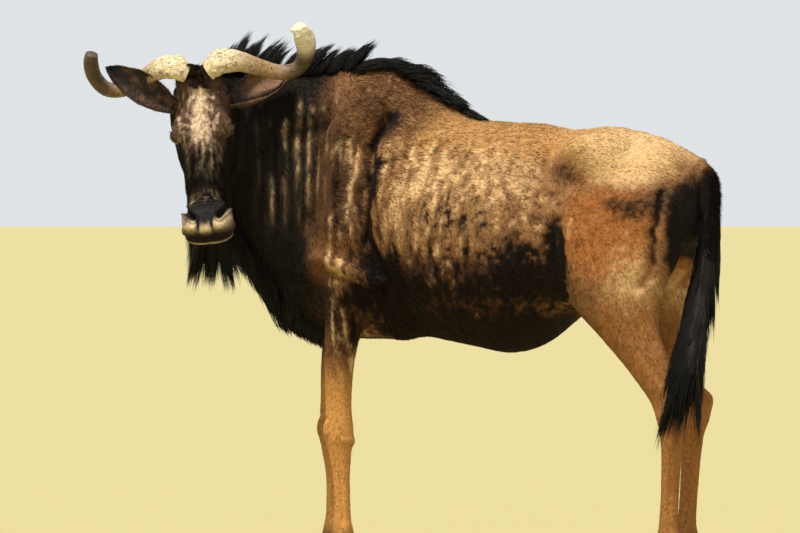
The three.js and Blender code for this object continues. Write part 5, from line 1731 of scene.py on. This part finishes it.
def make_throat_beard():
    count, clumps = 5600, 60
    rng, clump, share = clumped(37, count, clumps, 0.02)
    degrees = mixed(62, 10, share)
    _, (_, throat, _) = neck_at(degrees)
    out, back = neck_ways(degrees)
    row = rng.normal(0, 0.3, count)
    root = surface_root(neck_point(degrees, 0, throat + 0.08), unit(out * (row * 0.9)[:, None] - UP))
    rising = unit(out * (row * 0.4)[:, None] + back * 0.15 - UP)
    swept = 0.3 + rng.random(clumps)[clump] * 0.4
    falling = unit(back * swept[:, None] + out * (row * 0.2)[:, None] - UP)
    length = mixed(0.185, 0.04, np.clip(share * 1.5, 0, 1))
    length = length * uneven(rng, clump, clumps, (0.75, 1.12), (0.5, 1.03))
    return make_hair(
        "throat_beard", root, rising, falling, length, 0.0018, clump, rng, "neck", steps=4, pull=0.7
    )


def make_jaw_beard():
    count, clumps = 7000, 64
    rng, clump, share = clumped(41, count, clumps, 0.03, in_order=False, crowding=1.3)
    side = rng.uniform(-1.1, 1.1, clumps)[clump] + rng.normal(0, 0.12, count)
    _, out, up = HEAD_AXES
    inside = head_points(mixed(0.43, 0.19, share), side * mixed(0.026, 0.04, share), -0.02)
    root = surface_root(inside, np.broadcast_to(-up, inside.shape), 0.3)
    rising = unit(np.array(head_way(0.25, 0, -1)) + out * (side * 0.2)[:, None])
    spread = side * mixed(0.26, 0.12, share)
    falling = unit(out * spread[:, None] - np.array(heading) * 0.1 - UP)
    length = mixed(0.2, 0.235, share) * (1 - 0.12 * np.abs(side))
    length = length * uneven(rng, clump, clumps, (0.78, 1.12), (0.45, 1.04))
    return make_hair(
        "jaw_beard", root, rising, falling, length, 0.0018, clump, rng, "face", bend=0.25, pull=0.5
    )


def make_forelock():
    count, clumps = 2200, 34
    rng, clump, share = clumped(53, count, clumps, 0.05, in_order=False)
    side = rng.uniform(-1, 1, clumps)[clump] * mixed(0.5, 1, share) + rng.normal(0, 0.1, count)
    _, out, up = HEAD_AXES
    inside = head_points(mixed(0.0, 0.06, share), side * 0.026, 0)
    root = surface_root(inside, np.broadcast_to(up, inside.shape), 0.2)
    rising = unit(np.array(head_way(-0.3, 0, 1)) + out * (side * 0.3)[:, None])
    falling = unit(np.array(head_way(0.5, 0, 0.6)) + out * (side * 0.7)[:, None])
    length = mixed(0.046, 0.02, share) * rng.uniform(0.6, 1.2, clumps)[clump]
    return make_hair(
        "forelock", root, rising, falling, length, 0.0014, clump, rng, "face", steps=3, pull=0.25
    )


def make_tassel():
    count, clumps = 7800, 56
    rng, clump, share = clumped(67, count, clumps, 0.04, in_order=False)
    z = mixed(1.07, 0.606, share**0.9)
    _, (cx, cy, radius) = dock_at(z)
    turn = rng.uniform(0, 2 * np.pi, clumps)[clump] + rng.normal(0, 0.35, count)
    around = np.stack([np.cos(turn), np.sin(turn), 0 * z], -1)
    root = np.stack([cx, cy, z], -1) + around * (radius * 0.7)[:, None]
    fan = mixed(0.14, 0.5, np.clip(share * 1.8, 0, 1)) * (0.5 - 0.5 * np.cos(turn))
    rising = unit(np.stack([-fan, -0.1 - 0.5 * fan, -1 + 0 * fan], -1) + around * 0.1)
    falling = unit(np.stack([-0.5 * fan, -0.3 * fan, -1 + 0 * fan], -1) + around * 0.04)
    length = mixed(0.15, 0.215, share) * uneven(rng, clump, clumps, (0.75, 1.1), (0.5, 1.05))
    return make_hair("tassel", root, rising, falling, length, 0.0019, clump, rng, "tail", pull=0.6)


def make_ear_hair():
    rng = np.random.default_rng(71)
    count = 2600
    side = rng.choice([-1, 1], count)
    share = rng.uniform(0.06, 0.97, count)
    on_edge = rng.random(count) < 0.75
    edge = np.sign(rng.random(count) - 0.5) * rng.uniform(0.8, 1, count)
    turn = np.where(on_edge, edge, rng.uniform(-1, 1, count))
    root, rising, falling = (np.zeros((count, 3)) for _ in range(3))
    for s in (-1, 1):
        own = side == s
        _, way, cup, wide = ear_axes(s)
        root[own] = ear_sheet(s, share[own], turn[own], 0.002)
        inward = -wide * np.sign(turn[own])[:, None] * 0.5
        rising[own] = unit(inward + cup * 0.6 + way * 0.5)
        falling[own] = unit(inward * 0.6 + way * 1.2 + cup * 0.2)
    length = rng.uniform(0.01, 0.022, count)
    clump = np.arange(count) // 6
    return make_hair("ear_hair", root, rising, falling, length, 0.0014, clump, rng, "face", steps=3, pull=0.1)


def make_lashes():
    rng = np.random.default_rng(79)
    root, rising, falling = [], [], []
    for side in (-1, 1):
        centre, across, over, look = eye_axes(side)
        long, high = EYE_OPENING
        for a in np.linspace(-0.85, 0.85, 60):
            b = high * (1 - a * a) + 0.0012
            n = across * (a * long) + over * b
            n = n + look * math.sqrt((EYE_RADIUS + 0.002) ** 2 - (a * long) ** 2 - b * b)
            root.append(centre + n)
            rising.append(unit(look * 0.9 + over * 0.25 + across * a * 0.3))
            falling.append(unit(look * 0.5 - over * 0.35 + across * a * 0.5))
    root, rising, falling = map(np.array, (root, rising, falling))
    length = rng.uniform(0.006, 0.01, len(root))
    clump = np.arange(len(root)) // 2
    return make_hair("lashes", root, rising, falling, length, 0.0006, clump, rng, "face", steps=4, pull=0.2)


def make_coat_finish():
    f = Finish("coat")
    p = f.place()
    color = coat_color(f, p)
    tuft, reach = f.attribute("tone"), f.attribute("reach")
    color = f.shade(color, (tuft * 0.7 + 0.62) * (reach * 0.2 + 0.86))
    return f.surface({"Base Color": color, "Roughness": 0.8, "Specular IOR Level": 0.12})


def make_hair_finish():
    f = Finish("long hair")
    p = f.place()
    tuft, reach = f.attribute("tone"), f.attribute("reach")
    x, _, z = f.parts(p)
    brown = (1 - z.rise(1.04, 1.2)) * x.rise(-0.2, -0.4)
    color = f.mix(COAT["hair"], COAT["hair_brown"], tuft.rise(0.55, 1.0) * (brown * 0.6 + 0.25))
    along, _, up = f.head_place(p)
    fringe = along.rise(0.005, 0.03) * up.rise(0.0, 0.02)
    color = f.mix(color, COAT["forelock"], fringe * tuft.rise(0.1, 0.9) * 0.8)
    color = f.shade(color, reach * 0.5 + 0.7)
    return f.surface({"Base Color": color, "Roughness": 0.55, "Specular IOR Level": 0.25})


# Studio
CAMERA_TURN = math.radians(25)
CAMERA_AWAY = 14
CAMERA_HEIGHT = 0.985
AIM = Vector((0, 0, 0.87))
LENS = 235.6
FLOOR_TONE = tone(172, 161, 110)
FLOOR_RADIUS = 1500
SKY = (0.9, 0.94, 0.96, 1)
SKY_STRENGTH = 0.82
# The main light: the way it comes from, its softness in degrees, its strength and its colour
KEY_LIGHT = ((-0.08, -0.42, 1.0), 9, 4.4, (1.0, 0.95, 0.86))


def make_camera():
    data = bpy.data.cameras.new("camera")
    data.lens = LENS
    data.sensor_width = 36
    data.clip_end = 4000
    camera = bpy.data.objects.new("camera", data)
    bpy.context.scene.collection.objects.link(camera)
    place = Vector((math.sin(CAMERA_TURN) * CAMERA_AWAY, -math.cos(CAMERA_TURN) * CAMERA_AWAY, CAMERA_HEIGHT))
    camera.location = place + SHIFT
    camera.rotation_euler = (AIM - place).to_track_quat("-Z", "Y").to_euler()
    bpy.context.scene.camera = camera


def add_light(name, toward, angle, strength, color):
    """A far, soft light that shines from a direction."""
    data = bpy.data.lights.new(name, "SUN")
    data.angle = math.radians(angle)
    data.energy = strength
    data.color = color
    light = bpy.data.objects.new(name, data)
    bpy.context.scene.collection.objects.link(light)
    light.rotation_euler = Vector(toward).to_track_quat("Z", "Y").to_euler()


def make_studio():
    f = Finish("pale floor")
    f.surface({"Base Color": FLOOR_TONE, "Roughness": 0.95})
    bm = bmesh.new()
    bmesh.ops.create_circle(bm, cap_ends=True, radius=FLOOR_RADIUS, segments=96)
    mesh = bpy.data.meshes.new("floor")
    bm.to_mesh(mesh)
    bm.free()
    mesh.materials.append(f.material)
    floor = bpy.data.objects.new("floor", mesh)
    floor.location.z = -0.0005
    bpy.context.scene.collection.objects.link(floor)
    world = bpy.data.worlds.new("studio")
    world.use_nodes = True
    sky = world.node_tree.nodes["Background"]
    sky.inputs["Color"].default_value = SKY
    sky.inputs["Strength"].default_value = SKY_STRENGTH
    bpy.context.scene.world = world
    bpy.context.scene.view_settings.view_transform = "Standard"
    add_light("key", *KEY_LIGHT)


make_camera()
make_studio()

skin_finish = make_skin_finish()
flesh_nodes = ["torso", "neck", "head", "tail"] + [f"leg_{name}" for name in LEGS]
skin = add_piece(make_skin_form(), "skin", skin_finish, flesh_nodes)
skin_points = points_of(skin.data) - np.array(SHIFT)
mark_points(skin.data, "shade", coat_shade(skin_points))
mark_points(skin.data, "lip", lip_share(skin_points))
horn_finish = make_horn_finish()
ear_finish = make_ear_finish()
hoof_finish = make_hoof_finish()
coat_finish = make_coat_finish()
hair_finish = make_hair_finish()
eye_finishes = {side: make_eye_finish(side) for side in (1, -1)}
for side in (1, -1):
    make_horn(side)
    make_ear(side)
    make_eye(side)
for name in LEGS:
    make_hooves(name)
for region in COAT_PIECES:
    make_coat(skin.data, region)
make_mane()
make_withers_mane()
make_throat_beard()
make_jaw_beard()
make_forelock()
make_tassel()
make_ear_hair()
make_lashes()
